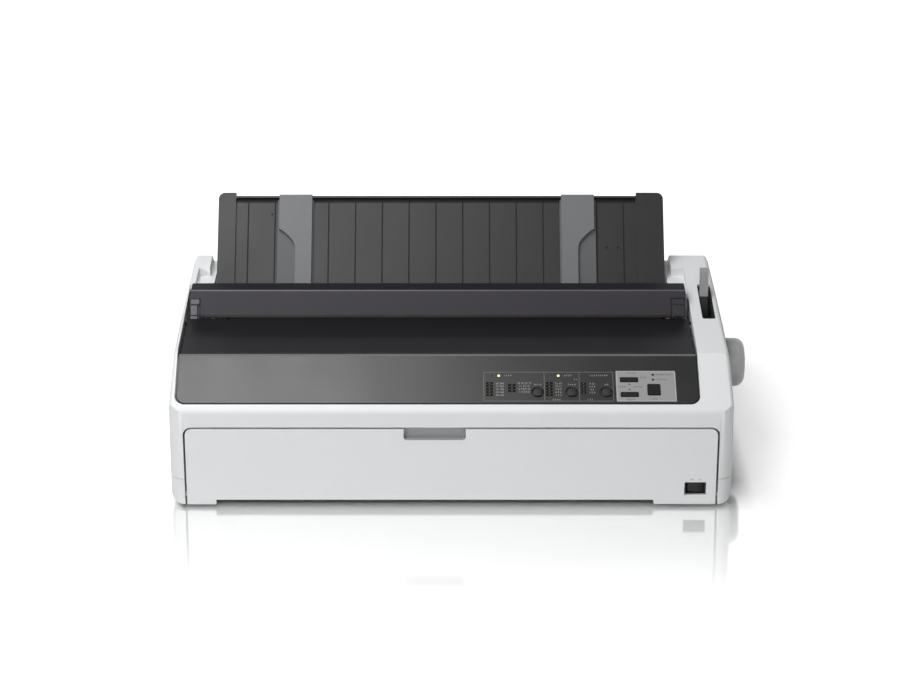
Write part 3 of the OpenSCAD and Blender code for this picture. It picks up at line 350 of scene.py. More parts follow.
# Black painted shade for grooves, slots and gaps.
SHADE_BLACK = MouldedPlastic("Black painted shade in gaps and grooves", "guide_charcoal", "#161616", 0.5, gloss=0.2)
MOTOR_BLACK = MouldedPlastic("Black enamelled motor housing",
                             "motor_black", "#1b1b1d", 0.3, grain=2.0, clear=0.3)
FEET_RUBBER = Rubber("Black moulded foot rubber", "feet_rubber", "#17171a", 0.85)
PLATEN_RUBBER = Rubber("Ground black platen rubber", "platen_rubber", "#1c1b1d", 0.7)
BELT_RUBBER = Rubber("Black neoprene timing belt", "belt_rubber", "#141414", 0.8)
BLADE_STEEL = SheetMetal("Blackened blade steel", "zinc_steel", "#3a3a3c", 0.45)
ZINC_STEEL = SheetMetal("Zinc plated sheet steel", "zinc_steel", "#b4b6b8", 0.34)
BRIGHT_STEEL = SheetMetal("Ground bright steel rod", "bright_steel", "#c6c8ca", 0.2,
                          lines=(1.0, 0.05, 0.05), spangle=0.0)
PINION_BRASS = SheetMetal("Cut pinion brass", "pinion_brass", "#c29a4a", 0.28, spangle=0.0)
HEAD_ALLOY = SheetMetal("Cast and milled head aluminium", "head_alloy", "#a8a9ab", 0.4, spangle=0.08)
BOARD_GREEN = CircuitBoard("Green solder mask board", "board_green", "#125b38", 0.35)
LAMP_LIT = LitLens("Lit yellow green lamp lens", "lamp_green", "#d4e88c", 0.3)
LAMP_DARK = MouldedPlastic("Unlit dark lamp lens", "lamp_green", "#20261c", 0.25, grain=3.0, clear=0.5)
INK_LIGHT = PrintedInk("Light grey screen print", "panel_dark", "#a4a5a5", 0.6)
INK_DIM = PrintedInk("Mid grey screen print", "panel_dark", "#7b7c7c", 0.6)
INK_DARK = PrintedInk("Dark screen print", "plate_silver", "#2f2f30", 0.6)
INK_PALE = PrintedInk("Pale grey screen print", "plate_silver", "#c2c2c2", 0.6)
INK_OLIVE = PrintedInk("Olive screen print", "panel_dark", "#1d1f14", 0.9, gloss=0.0)
INK_GREY = PrintedInk("Grey screen print", "case_white", "#85878a", 0.6)


# ------------------------------------------------------------------ pieces
class Shape:
    """One piece being made, as a bmesh in millimetres on a plane of the printer."""

    def __init__(self, plane: Plane = Plane.CASE) -> None:
        """Starts an empty piece.

        Args:
            plane: Plane that its sizes are given on.
        """
        self.plane = plane
        self.mesh = bmesh.new()
        self.finishes: list[Finish] = []

    @classmethod
    def of_node(cls, node: str) -> "Shape":
        """Starts from the merged copy of a CAD node, with its flat faces made whole.

        Args:
            node: Name of the CAD node.

        Returns:
            The copy, in millimetres.
        """
        shape = cls()
        shape.mesh.from_mesh(frame["nodes"][node].data)
        shape.mesh.transform(Plane.CASE.matrix.inverted())
        bmesh.ops.remove_doubles(shape.mesh, verts=shape.mesh.verts, dist=0.003)
        bmesh.ops.dissolve_degenerate(shape.mesh, dist=0.002, edges=shape.mesh.edges)
        bmesh.ops.dissolve_limit(shape.mesh, angle_limit=radians(0.3), verts=shape.mesh.verts,
                                 edges=shape.mesh.edges, use_dissolve_boundaries=False)
        for face in shape.mesh.faces:
            face.material_index = 0
        return shape

    def block(self, low: Sequence[float], high: Sequence[float]) -> None:
        """Adds a block.

        Args:
            low: Its lowest corner.
            high: Its highest corner.
        """
        middle = [(a + b) / 2 for a, b in zip(low, high)]
        size = [b - a for a, b in zip(low, high)]
        bmesh.ops.create_cube(self.mesh, size=1, matrix=Matrix.Translation(middle) @ Matrix.Diagonal((*size, 1)))

    def plate(self, outline: Sequence[Point], low: float, high: float) -> None:
        """Adds a flat plate.

        Args:
            outline: Corners of its outline.
            low: Height of its underside.
            high: Height of its top.
        """
        face = self.mesh.faces.new([self.mesh.verts.new((x, y, low)) for x, y in outline])
        made = bmesh.ops.extrude_face_region(self.mesh, geom=[face])["geom"]
        raised = [g for g in made if isinstance(g, bmesh.types.BMVert)]
        bmesh.ops.translate(self.mesh, verts=raised, vec=(0, 0, high - low))
        bmesh.ops.recalc_face_normals(self.mesh, faces=self.mesh.faces)

    def lettering(self, text: str, x: float, y: float, height: float, level: float) -> None:
        """Adds printed figures, centred on a point.

        Args:
            text: The figures.
            x: Middle, across.
            y: Foot of the figures, up the plane.
            height: Height of a figure.
            level: Height above the plane that they lie at.
        """
        curve = bpy.data.curves.new("figures", "FONT")
        curve.body = text
        curve.size = height * 1.4
        curve.align_x = "CENTER"
        curve.extrude = 0.03
        curve.resolution_u = 2
        holder = bpy.data.objects.new("figures", curve)
        flat = bpy.data.meshes.new_from_object(holder)
        flat.transform(Matrix.Translation((x, y, level)))
        self.mesh.from_mesh(flat)
        bpy.data.objects.remove(holder)
        bpy.data.curves.remove(curve)
        bpy.data.meshes.remove(flat)

    def soften(self, width: float, segments: int = 2, where: Optional[Where] = None) -> None:
        """Rounds the sharp edges that have room for it.

        Args:
            width: Width of the rounding.
            segments: Steps in it.
            where: Says by its middle whether an edge is rounded; every one if left out.
        """
        chosen = {e for e in self.mesh.edges if len(e.link_faces) == 2 and e.calc_face_angle(0) > SHARP_ANGLE
                  and (where is None or where((e.verts[0].co + e.verts[1].co) / 2))}
        self.mesh.verts.index_update()
        tight = set().union(*(crowded(f, chosen, width) for f in {f for e in chosen for f in e.link_faces}))
        edges = [e for e in self.mesh.edges if e in chosen and e not in tight]
        if edges:
            bmesh.ops.bevel(self.mesh, geom=edges, offset=width, offset_type="OFFSET", segments=segments,
                            profile=0.5, affect="EDGES", clamp_overlap=False, material=-1)

    def split(self, plane: Plane, height: float) -> None:
        """Cuts the faces along a level line of a plane, so that either side can have its own finish.

        Args:
            plane: The plane.
            height: Distance up it.
        """
        turn = self.plane.matrix.inverted() @ plane.matrix
        geometry = [*self.mesh.verts, *self.mesh.edges, *self.mesh.faces]
        bmesh.ops.bisect_plane(self.mesh, geom=geometry, dist=1e-4, plane_co=turn @ Vector((0, height, 0)),
                               plane_no=turn.to_3x3() @ Vector((0, 1, 0)))

    def paint(self, finish: Finish, where: Where) -> None:
        """Gives some faces another finish than the rest.

        Args:
            finish: The finish.
            where: Says by its middle whether a face has it.
        """
        if finish not in self.finishes:
            self.finishes.append(finish)
        number = self.finishes.index(finish) + 1
        for face in self.mesh.faces:
            if where(face.calc_center_median()):
                face.material_index = number

    def done(self, name: str, finish: Finish, body: str, replaces: Sequence[str] = (),
             weighted: bool = True) -> bpy.types.Object:
        """Puts the piece in its place and makes it ride on its body.

        Args:
            name: Name of the piece.
            finish: Its main finish.
            body: CAD body that it moves with.
            replaces: CAD nodes that it stands for.
            weighted: Whether its flat faces keep flat normals beside their roundings.

        Returns:
            The object.
        """
        self.mesh.transform(self.plane.matrix)
        for face in self.mesh.faces:
            face.smooth = True
        data = bpy.data.meshes.new(name)
        self.mesh.to_mesh(data)
        self.mesh.free()
        data.set_sharp_from_angle(angle=SMOOTH_ANGLE)
        for each in (finish, *self.finishes):
            data.materials.append(each.make())
        piece = bpy.data.objects.new(name, data)
        bpy.context.scene.collection.objects.link(piece)
        if weighted:
            normals = piece.modifiers.new("Flat faces stay flat", "WEIGHTED_NORMAL")
            normals.keep_sharp = True
            normals.weight = 80
        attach(piece, body)
        if replaces:
            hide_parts(*replaces)
        LOG.info("%s on %s: %d faces, %s", name, body, len(data.polygons), finish.name)
        return piece


def crowded(face: bmesh.types.BMFace, chosen: set[bmesh.types.BMEdge],
            width: float) -> set[bmesh.types.BMEdge]:
    """Finds the edges of a face whose rounding would meet another edge of it.

    Args:
        face: The face.
        chosen: Edges that are to be rounded.
        width: Width of the rounding.

    Returns:
        Those edges.
    """
    edges = list(face.edges)
    ends = np.array([[v.co for v in e.verts] for e in edges])
    names = np.array([[v.index for v in e.verts] for e in edges])
    starts, spans = ends[:, 0], ends[:, 1] - ends[:, 0]
    lengths = np.linalg.norm(spans, axis=1)
    along = spans / np.maximum(lengths, 1e-9)[:, None]
    marked = np.array([e in chosen for e in edges])
    need = width * np.where(marked, 2.1, 1.05)
    found = set()
    for i in np.flatnonzero(marked):
        joined = (names[:, :, None] == names[i]).any(axis=(1, 2))
        corner = joined & (lengths < width) & (abs(along @ along[i]) < 0.5)
        close = corner.any()
        for sample in (starts[i], starts[i] + spans[i] / 2, ends[i, 1]):
            share = np.clip(((sample - starts) * along).sum(axis=1), 0, lengths)
            away = starts + along * share[:, None] - sample
            far = np.linalg.norm(away, axis=1)
            close |= (~joined & (far < need) & (abs(away @ along[i]) < 0.5 * far + 1e-6)).any()
        for tips in (starts, ends[:, 1]):
            share = (tips - starts[i]) @ along[i]
            far = np.linalg.norm(tips - starts[i] - share[:, None] * along[i], axis=1)
            close |= (~joined & (share > 0) & (share < lengths[i]) & (far < need)).any()
        if close:
            found.add(edges[i])
    return found


def seen_from(plane: Plane) -> Matrix:
    """Gives the matrix that takes a point of Plane.CASE to one of another plane.

    Args:
        plane: The other plane.

    Returns:
        The matrix.
    """
    return plane.matrix.inverted() @ Plane.CASE.matrix


def body_of(node: str) -> str:
    """Gives the name of the body that a CAD node rides on."""
    return frame["nodes"][node]["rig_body"]


@dataclass
class SoftenedNode:
    """A CAD node shown as a copy with its edges rounded."""

    node: str
    finish: Finish
    width: float = 0.4
    segments: int = 2

    def build(self) -> None:
        """Makes the copy and puts it in the node's place."""
        shape = Shape.of_node(self.node)
        if self.width:
            shape.soften(self.width, self.segments)
        shape.done(self.node + "_finished", self.finish, body_of(self.node), [self.node])


# ------------------------------------------------------------------ case
@dataclass
class CaseShells:
    """The two halves of the white case, with the mouldings' rounded edges."""

    rim: float = 1.6
    edge: float = 0.45
    band_top: float = 113.0
    band_depth: float = 66.0
    arm_top: float = 150.0
    rim_depth: float = 256.0
    rim_sides: Point = (-312.6, 255.6)
    dark_sides: Point = (-301.0, 274.0)
    dark_depth: float = 40.0
    dark_top: float = 12.0

    def build(self) -> None:
        """Makes both halves, the feet, the screws and the lever's bezel."""
        self.upper()
        self.lower()
        SoftenedNode("feet", FEET_RUBBER, 1.2, 3).build()
        SoftenedNode("case_screws", ZINC_STEEL, 0.3).build()
        SoftenedNode("lever_bezel", BLACK_PLASTIC, 0.5).build()

    def upper(self) -> None:
        """Makes the upper half. Its rim round the panel and its arms' inner edges are the roundest."""
        shape = Shape.of_node("upper_case")
        shape.soften(self.rim, 4, self.on_rim)
        shape.soften(self.edge, 2)
        shape.done("upper_case_shell", CASE_WHITE, "chassis", ["upper_case"])

    def on_rim(self, middle: Vector) -> bool:
        """Says whether an edge is on the top rim of the opening."""
        top = self.band_top if middle.y < self.band_depth else self.arm_top
        left, right = self.rim_sides
        return middle.z > top - 0.5 and middle.y < self.rim_depth and left < middle.x < right

    def lower(self) -> None:
        """Makes the lower half. Its edge behind the door is painted black, as painted shade under the door."""
        shape = Shape.of_node("lower_case")
        shape.soften(self.edge, 2)
        shape.split(Plane.CASE, self.dark_depth)
        left, right = self.dark_sides
        # Painted shade: the strip behind and under the door is black.
        shape.paint(SHADE_BLACK, lambda p: p.z < self.dark_top and 2.5 < p.y < self.dark_depth
                    and left < p.x < right)
        shape.done("lower_case_shell", CASE_WHITE, "chassis", ["lower_case"])


@dataclass
class ControlPanel:
    """The sloping panel: its moulding, printed inlay, key plate, lamps, keys and legends."""

    inlay_top: float = 0.35
    plate_top: float = 0.45
    highlight_from: float = 64.4
    row_gap: float = 3.9
    line: float = 0.45
    frame_foot: float = 3.4
    frame_top: float = 42.0
    frame_sides: Point = (21.6, 161.6)
    dividers: tuple[float, ...] = (21.4, 86.8, 124.6, 161.2)
    lit: tuple[Point, ...] = ((37.8, 37.6), (102.4, 37.6))
    bars: tuple[tuple[float, float, int, float], ...] = (
        (23.9, 7.6, 5, 10.2), (47.8, 8.2, 3, 15.6), (88.8, 7.2, 5, 10.2), (126.8, 5.2, 4, 13.6))
    tables: tuple[tuple[float, float, tuple[str, ...]], ...] = (
        (38.8, 10.4, ("10 120", "12 144", "15 180", "17 205", "20 240")),
        (65.3, 14.8, ("1 2 3 4 5", "6 7 8 9 10", "11 12 13", "14 15 16 17")),
        (102.2, 10.4, ("1 2 3", "4 5 6", "7 8 9", "10 11", "12 13")),
        (138.6, 13.8, ("1 2 3", "4 5", "6 7 8", "9 10")))
    inlay_figures: tuple[tuple[float, float, str], ...] = (
        (47.5, 36.8, "1 2 3 4"), (80.0, 24.6, "8 9 10"), (112.6, 36.8, "4 5 6 7"), (116.7, 24.6, "2 4 6 8"),
        (121.0, 31.6, "5 6"), (154.2, 24.6, "6 8"), (146.0, 36.8, "1 2 3 4 5 6 7 8 9"), (100.0, 4.6, "3 3 6 6"),
        (136.0, 4.6, "1 2 3"))
    plate_figures: tuple[tuple[float, float, str], ...] = (
        (170.4, 21.4, "1 2 3 4"), (188.2, 21.4, "5 6 7 8"), (193.0, 34.0, "1 2 3 4"),
        (216.0, 37.8, "5 6 7 8 9 10 11"), (213.5, 31.3, "1 2 3 4 5 6"), (205.5, 5.4, "1 2 3"),
        (181.0, 39.8, "1 2 3 4 5"), (180.0, 4.4, "4 5 6 7"))

    def build(self) -> None:
        """Makes every piece of the panel."""
        self.fascia()
        SoftenedNode("panel_inlay", PANEL_DARK, 0.12, 1).build()
        SoftenedNode("panel_plate", PLATE_SILVER, 0.2, 2).build()
        SoftenedNode("panel_board", BOARD_GREEN, 0.0).build()
        for node in ("key_round_left", "key_round_middle", "key_round_right"):
            SoftenedNode(node, KEY_GREY, 0.45, 3).build()
        for node in ("key_bar_upper", "key_bar_lower", "key_square"):
            SoftenedNode(node, KEY_BLACK, 0.5, 3).build()
        self.lamps()
        self.inlay_print()
        self.plate_print()

    def fascia(self) -> None:
        """Makes the panel's moulding. Its upper edge is painted lighter, as a painted highlight."""
        shape = Shape.of_node("fascia")
        shape.soften(0.5, 3)
        shape.split(Plane.FASCIA, self.highlight_from)
        flat = seen_from(Plane.FASCIA)
        # Painted highlight: the strip along the fascia's upper edge is painted lighter.
        shape.paint(PANEL_HIGHLIGHT, lambda p: (flat @ p).y > self.highlight_from and (flat @ p).z > -0.6)
        shape.done("fascia_finished", PANEL_DARK, "chassis", ["fascia"])

    def lamps(self) -> None:
        """Makes the lamps, two of them alight."""
        shape = Shape.of_node("status_leds")
        shape.soften(0.5, 3)
        back = seen_from(Plane.FASCIA).inverted()
        lit = [back @ Vector((x, s, 0)) for x, s in self.lit]
        shape.paint(LAMP_LIT, lambda p: any(abs(p.x - q.x) < 2.5 and abs(p.y - q.y) < 5 for q in lit))
        shape.done("status_lamps", LAMP_DARK, "chassis", ["status_leds"])

    def dashes(self, shape: Shape, spans: Iterable[tuple[float, float, float]], height: float,
               level: float) -> None:
        """Prints short bars.

        Args:
            shape: Piece that they are added to.
            spans: Left end, right end and foot of each.
            height: Height of each bar.
            level: Height above the panel.
        """
        for left, right, foot in spans:
            shape.block((left, foot, level), (right, foot + height, level + INK_THICKNESS))

    def inlay_print(self) -> None:
        """Prints the frame, dividers, tables and figures on the dark inlay."""
        top = self.inlay_top
        light, dim, olive = Shape(Plane.FASCIA), Shape(Plane.FASCIA), Shape(Plane.FASCIA)
        rims = [(*self.frame_sides, self.frame_top), (*self.frame_sides, self.frame_foot)]
        self.dashes(dim, rims, self.line, top)
        for x in self.dividers:
            dim.block((x, self.frame_foot, top), (x + self.line, self.frame_top + 0.4, top + INK_THICKNESS))
        for left, wide, rows, low in self.bars:
            middle = left + wide / 2
            for foot in (low + row * self.row_gap for row in range(rows)):
                self.dashes(olive, [(left, left + wide, foot)], 3.0, top)
                self.dashes(dim, [(middle - 0.8, middle + 0.8, foot + 1.2)], 0.6, top + INK_THICKNESS)
        for x, low, lines in self.tables:
            for row, text in enumerate(lines):
                light.lettering(text, x, low + row * self.row_gap, 2.3, top + INK_THICKNESS / 2)
        for x, s, text in self.inlay_figures:
            light.lettering(text, x, s, 2.1, top + INK_THICKNESS / 2)
        light.done("panel_figures", INK_LIGHT, "chassis", weighted=False)
        dim.done("panel_frames", INK_DIM, "chassis", weighted=False)
        olive.done("panel_tables", INK_OLIVE, "chassis", weighted=False)

    def plate_print(self) -> None:
        """Prints the arrows and figures on the silver key plate."""
        top = self.plate_top
        shape = Shape(Plane.FASCIA)
        for s, tip in ((25.4, 1.9), (19.6, -1.9)):
            corners = [(177.7, s), (180.5, s), (179.1, s + tip)]
            shape.plate(corners if tip > 0 else corners[::-1], top, top + INK_THICKNESS)
        for x, s, text in self.plate_figures:
            shape.lettering(text, x, s, 2.2, top + INK_THICKNESS / 2)
        shape.done("plate_figures", INK_DARK, "chassis", weighted=False)
        border = Shape(Plane.FASCIA)
        self.dashes(border, [(165.6, 228.6, 43.0), (165.6, 228.6, 3.5)], 0.5, top)
        for x in (165.2, 228.5):
            border.block((x, 3.9, top), (x + 0.5, 43.1, top + INK_THICKNESS))
        border.done("plate_border", INK_PALE, "chassis", weighted=False)


@dataclass
class Covers:
    """The covers that open: front door, printer cover and tension unit."""

    lid_top: float = 153.0
    lid_step: float = 104.4
    lid_lip: float = 67.8
    ridge_foot: float = 3.6
    ridge_sides: Point = (-302.0, 234.0)
    ridge_edge: Point = (174.4, 177.0)
    ridge_top: float = 182.9
    grip_sides: Point = (-65.5, 2.5)
    grip_depths: Point = (0.9, 10.6)
    grip_foot: float = 75.5
    legend_place: Point = (251.7, 28.6)

    def build(self) -> None:
        """Makes every cover and what is fixed to it."""
        self.door()
        self.lid()
        self.ridge()
        self.tabs()
        SoftenedNode("tension_rollers", PLATEN_RUBBER, 0.4, 2).build()
        SoftenedNode("tear_off_blade", BLADE_STEEL, 0.0).build()

    def lid(self) -> None:
        """Makes the printer cover. Behind its shallow step it is painted darker, as painted shade where the dark
        inside shows through the tint, and along its front edge it is painted lighter, as a painted highlight.
        """
        shape = Shape.of_node("printer_cover")
        shape.soften(0.7, 3)
        # Painted shade: the cover behind its step is darker.
        shape.paint(COVER_SHADE, lambda p: p.y > self.lid_step and p.z > self.lid_top)
        # Painted highlight: the cover's front lip takes the lighter slate colour.
        shape.paint(RIDGE_SLATE, lambda p: p.y < self.lid_lip and p.z > self.lid_top - 4)
        shape.done("printer_cover_finished", COVER_SMOKE, "printer_cover", ["printer_cover"])

    def tabs(self) -> None:
        """Makes the lifting tabs, the left ones painted lighter, as a painted highlight."""
        shape = Shape.of_node("tension_tabs")
        shape.soften(0.5, 2)
        # Painted highlight: the left tabs are lighter than the right.
        shape.paint(TAB_HIGHLIGHT, lambda p: p.x < 0)
        shape.done("tension_tabs_finished", RIDGE_SLATE, body_of("tension_tabs"), ["tension_tabs"])

    def ridge(self) -> None:
        """Makes the tension cover. Its top is painted darker and its foot black, as painted shade, and its front
        edge lighter, as a painted highlight.
        """
        shape = Shape.of_node("tension_frame")
        shape.soften(0.8, 3)
        shape.split(Plane.RIDGE, self.ridge_foot)
        flat = seen_from(Plane.RIDGE)
        left, right = self.ridge_sides
        front, back = self.ridge_edge
        # Painted shade: the foot of the ridge, where it meets the cover, is black.
        shape.paint(SHADE_BLACK, lambda p: (flat @ p).y < self.ridge_foot and left < p.x < right)
        # Painted shade: the ridge's top is darker than its front.
        shape.paint(RIDGE_SHADE, lambda p: p.z > self.ridge_top and p.y > back)
        # Painted highlight: the rounding of the ridge's front edge is lighter.
        shape.paint(RIDGE_HIGHLIGHT, lambda p: p.z > self.ridge_top - 1 and front < p.y <= back)
        shape.done("tension_frame_finished", RIDGE_SLATE, body_of("tension_frame"), ["tension_frame"])

    def door(self) -> None:
        """Makes the front door, with its darker grip pocket and the switch's legend."""
        shape = Shape.of_node("front_cover")
        shape.soften(0.8, 3, lambda p: p.y < 1.5)
        left, right = self.grip_sides
        front, back = self.grip_depths
        # The grip pocket is painted a darker grey than the door.
        shape.paint(POCKET_GREY, lambda p: left < p.x < right and p.z > self.grip_foot and front < p.y < back)
        shape.done("front_cover_finished", CASE_WHITE, "front_cover", ["front_cover"])
        words = Shape(Plane.FRONT)
        words.lettering("OFF     ON", *self.legend_place, 2.0, INK_THICKNESS / 2)
        words.done("switch_legend", INK_GREY, "front_cover", weighted=False)


@dataclass
class SheetFeeder:
    """The sheet guide behind the ridge, with its two sliding edge guides."""

    pad_foot: float = 2.0
    field_sides: Point = (-263.2, 201.0)
    field_top: float = 118.4
    rail_foot: float = 123.5

    def build(self) -> None:
        """Makes the guide and both edge guides."""
        self.guide()
        for node in ("edge_guide_left", "edge_guide_right"):
            self.edge_guide(node)

    def edge_guide(self, node: str) -> None:
        """Makes an edge guide, whose base is darker than the raised pad on it.

        Args:
            node: Its CAD node.
        """
        shape = Shape.of_node(node)
        shape.soften(0.6, 3)
        flat = seen_from(Plane.GUIDE)
        shape.paint(EDGE_DEEP, lambda p: (flat @ p).z < self.pad_foot)
        shape.done(node + "_finished", EDGE_GREY, body_of(node), [node])

    def guide(self) -> None:
        """Makes the sheet guide. Its grooves and the slot under its top rail are painted black, as painted
        shade.
        """
        shape = Shape.of_node("sheet_guide")
        shape.soften(0.22, 2)
        flat = seen_from(Plane.GUIDE)
        left, right = self.field_sides
        # Painted shade: the slot below the top rail is black.
        shape.paint(SHADE_BLACK, lambda p: self.field_top < (flat @ p).y < self.rail_foot
                    and -1.8 < (flat @ p).z < 2.8 and left < p.x < right)
        # Painted shade: the grooves across the field are black.
        shape.paint(SHADE_BLACK, lambda p: 2 < (flat @ p).y < self.field_top and -0.9 < (flat @ p).z < -0.1)
        shape.done("sheet_guide_finished", GUIDE_CHARCOAL, "sheet_guide", ["sheet_guide"])


@dataclass
class Mechanism:
    """Everything inside and behind: paper path, gears, carriage, frame and electrics."""

    nodes: dict[str, tuple[Finish, float]] = field(default_factory=lambda: {
        "platen": (PLATEN_RUBBER, 0.5), "platen_shaft": (BRIGHT_STEEL, 0.3),
        "platen_knob": (KNOB_GREY, 0.0), "platen_gear": (GEAR_NYLON, 0.0),
        "feed_idler": (GEAR_NYLON, 0.0), "tractor_idler_front": (GEAR_NYLON, 0.0),
        "tractor_idler_rear": (GEAR_NYLON, 0.0), "motor_pinion": (PINION_BRASS, 0.0),
        "tractor_shaft": (BRIGHT_STEEL, 0.3), "tractor_gear": (GEAR_NYLON, 0.0),
        "side_frame_left": (ZINC_STEEL, 0.15), "side_frame_right": (ZINC_STEEL, 0.15),
        "base_frame": (ZINC_STEEL, 0.15), "carriage_rods": (BRIGHT_STEEL, 0.3),
        "tractor_rail": (BRIGHT_STEEL, 0.3), "paper_guide": (GUIDE_CHARCOAL, 0.0),
        "rear_guide": (GUIDE_CHARCOAL, 0.0), "carriage_motor": (MOTOR_BLACK, 0.3),
        "drive_pulley": (ZINC_STEEL, 0.2), "idler_pulley": (ZINC_STEEL, 0.2),
        "idler_bracket": (ZINC_STEEL, 0.2), "timing_belt": (BELT_RUBBER, 0.1),
        "carriage": (BLACK_PLASTIC, 0.5), "print_head": (HEAD_ALLOY, 0.3),
        "ribbon_cartridge": (BLACK_PLASTIC, 0.15), "tractor_left": (GUIDE_CHARCOAL, 0.4),
        "tractor_right": (GUIDE_CHARCOAL, 0.4), "feed_motor": (MOTOR_BLACK, 0.0),
        "power_supply": (ZINC_STEEL, 0.2), "ac_inlet": (BLACK_PLASTIC, 0.3),
        "data_connectors": (ZINC_STEEL, 0.1), "switch_body": (BLACK_PLASTIC, 0.3),
        "power_rocker": (BLACK_PLASTIC, 0.3)})
    board_top: float = 15.8
    cap_sides: Point = (268.05, 277.15)
    cap_outline: tuple[Point, ...] = (
        (185.7, 171.4), (190.6, 199.6), (192.4, 201.3), (200.2, 201.3), (202.0, 199.6), (197.2, 171.4),
        (193.6, 169.6), (188.6, 169.6))

    def build(self) -> None:
        """Makes every node of the mechanism with its own finish."""
        for node, (finish, width) in self.nodes.items():
            SoftenedNode(node, finish, width).build()
        self.lever()
        board = Shape.of_node("main_board")
        board.paint(BLACK_PLASTIC, lambda p: p.z > self.board_top)
        board.done("main_board_finished", BOARD_GREEN, "chassis", ["main_board"])

    def lever(self) -> None:
        """Makes the paper release lever: a stem painted black, as painted shade in its slot, with a grey finger
        cap above the case.
        """
        # Painted shade: the stem is black, standing in for the shade in the slot below the arm's surface.
        stem = Shape.of_node("release_lever")
        stem.soften(0.25)
        stem.done("release_lever_stem", BLACK_PLASTIC, body_of("release_lever"), ["release_lever"])
        cap = Shape()
        for x in self.cap_sides:
            cap.mesh.faces.new([cap.mesh.verts.new((x, y, z)) for y, z in self.cap_outline])
        bmesh.ops.bridge_loops(cap.mesh, edges=cap.mesh.edges)
        bmesh.ops.recalc_face_normals(cap.mesh, faces=cap.mesh.faces)
        cap.soften(0.7, 3)
        cap.done("release_lever_cap", LEVER_GREY, body_of("release_lever"))


# ------------------------------------------------------------------ studio
def ramp(tree: bpy.types.NodeTree, value: bpy.types.NodeSocket, source: Point,
         target: Point) -> bpy.types.NodeSocket:
    """Maps one range of a value to another, held at both ends.

    Args:
        tree: Node tree that it is added to.
        value: Socket of the value.
        source: Ends of the range that it comes in.
        target: Ends of the range that it goes to.

    Returns:
        Socket of the mapped value.
    """
    node = add_node(tree, "MapRange", {"Value": value}, From_Min=source[0], From_Max=source[1],
                    To_Min=target[0], To_Max=target[1])
    return node.outputs[0]


def joined(tree: bpy.types.NodeTree, operation: str, first: bpy.types.NodeSocket,
           *others: bpy.types.NodeSocket) -> bpy.types.NodeSocket:
    """Joins several values by one operation.

    Args:
        tree: Node tree that it is added to.
        operation: Name of the operation.
        first: Socket of the first value.
        *others: Sockets of the rest.

    Returns:
        Socket of the result.
    """
    for other in others:
        first = add_node(tree, "Math", {0: first, 1: other}, operation=operation).outputs[0]
    return first


@dataclass(frozen=True)
class Softbox:
    """A lamp: where it hangs, what it points at, its width and height in metres and its watts."""

    name: str
    place: tuple[float, float, float]
    aim: tuple[float, float, float]
    size: Point
    power: float

    def hang(self) -> None:
        """Makes the lamp."""
        data = bpy.data.lights.new(self.name, "AREA")
        data.shape = "RECTANGLE"
        data.size, data.size_y = self.size
        data.energy = self.power
        lamp = bpy.data.objects.new(self.name, data)
        lamp.location = self.place
        lamp.rotation_euler = (Vector(self.aim) - Vector(self.place)).to_track_quat("-Z", "Y").to_euler()
        bpy.context.scene.collection.objects.link(lamp)


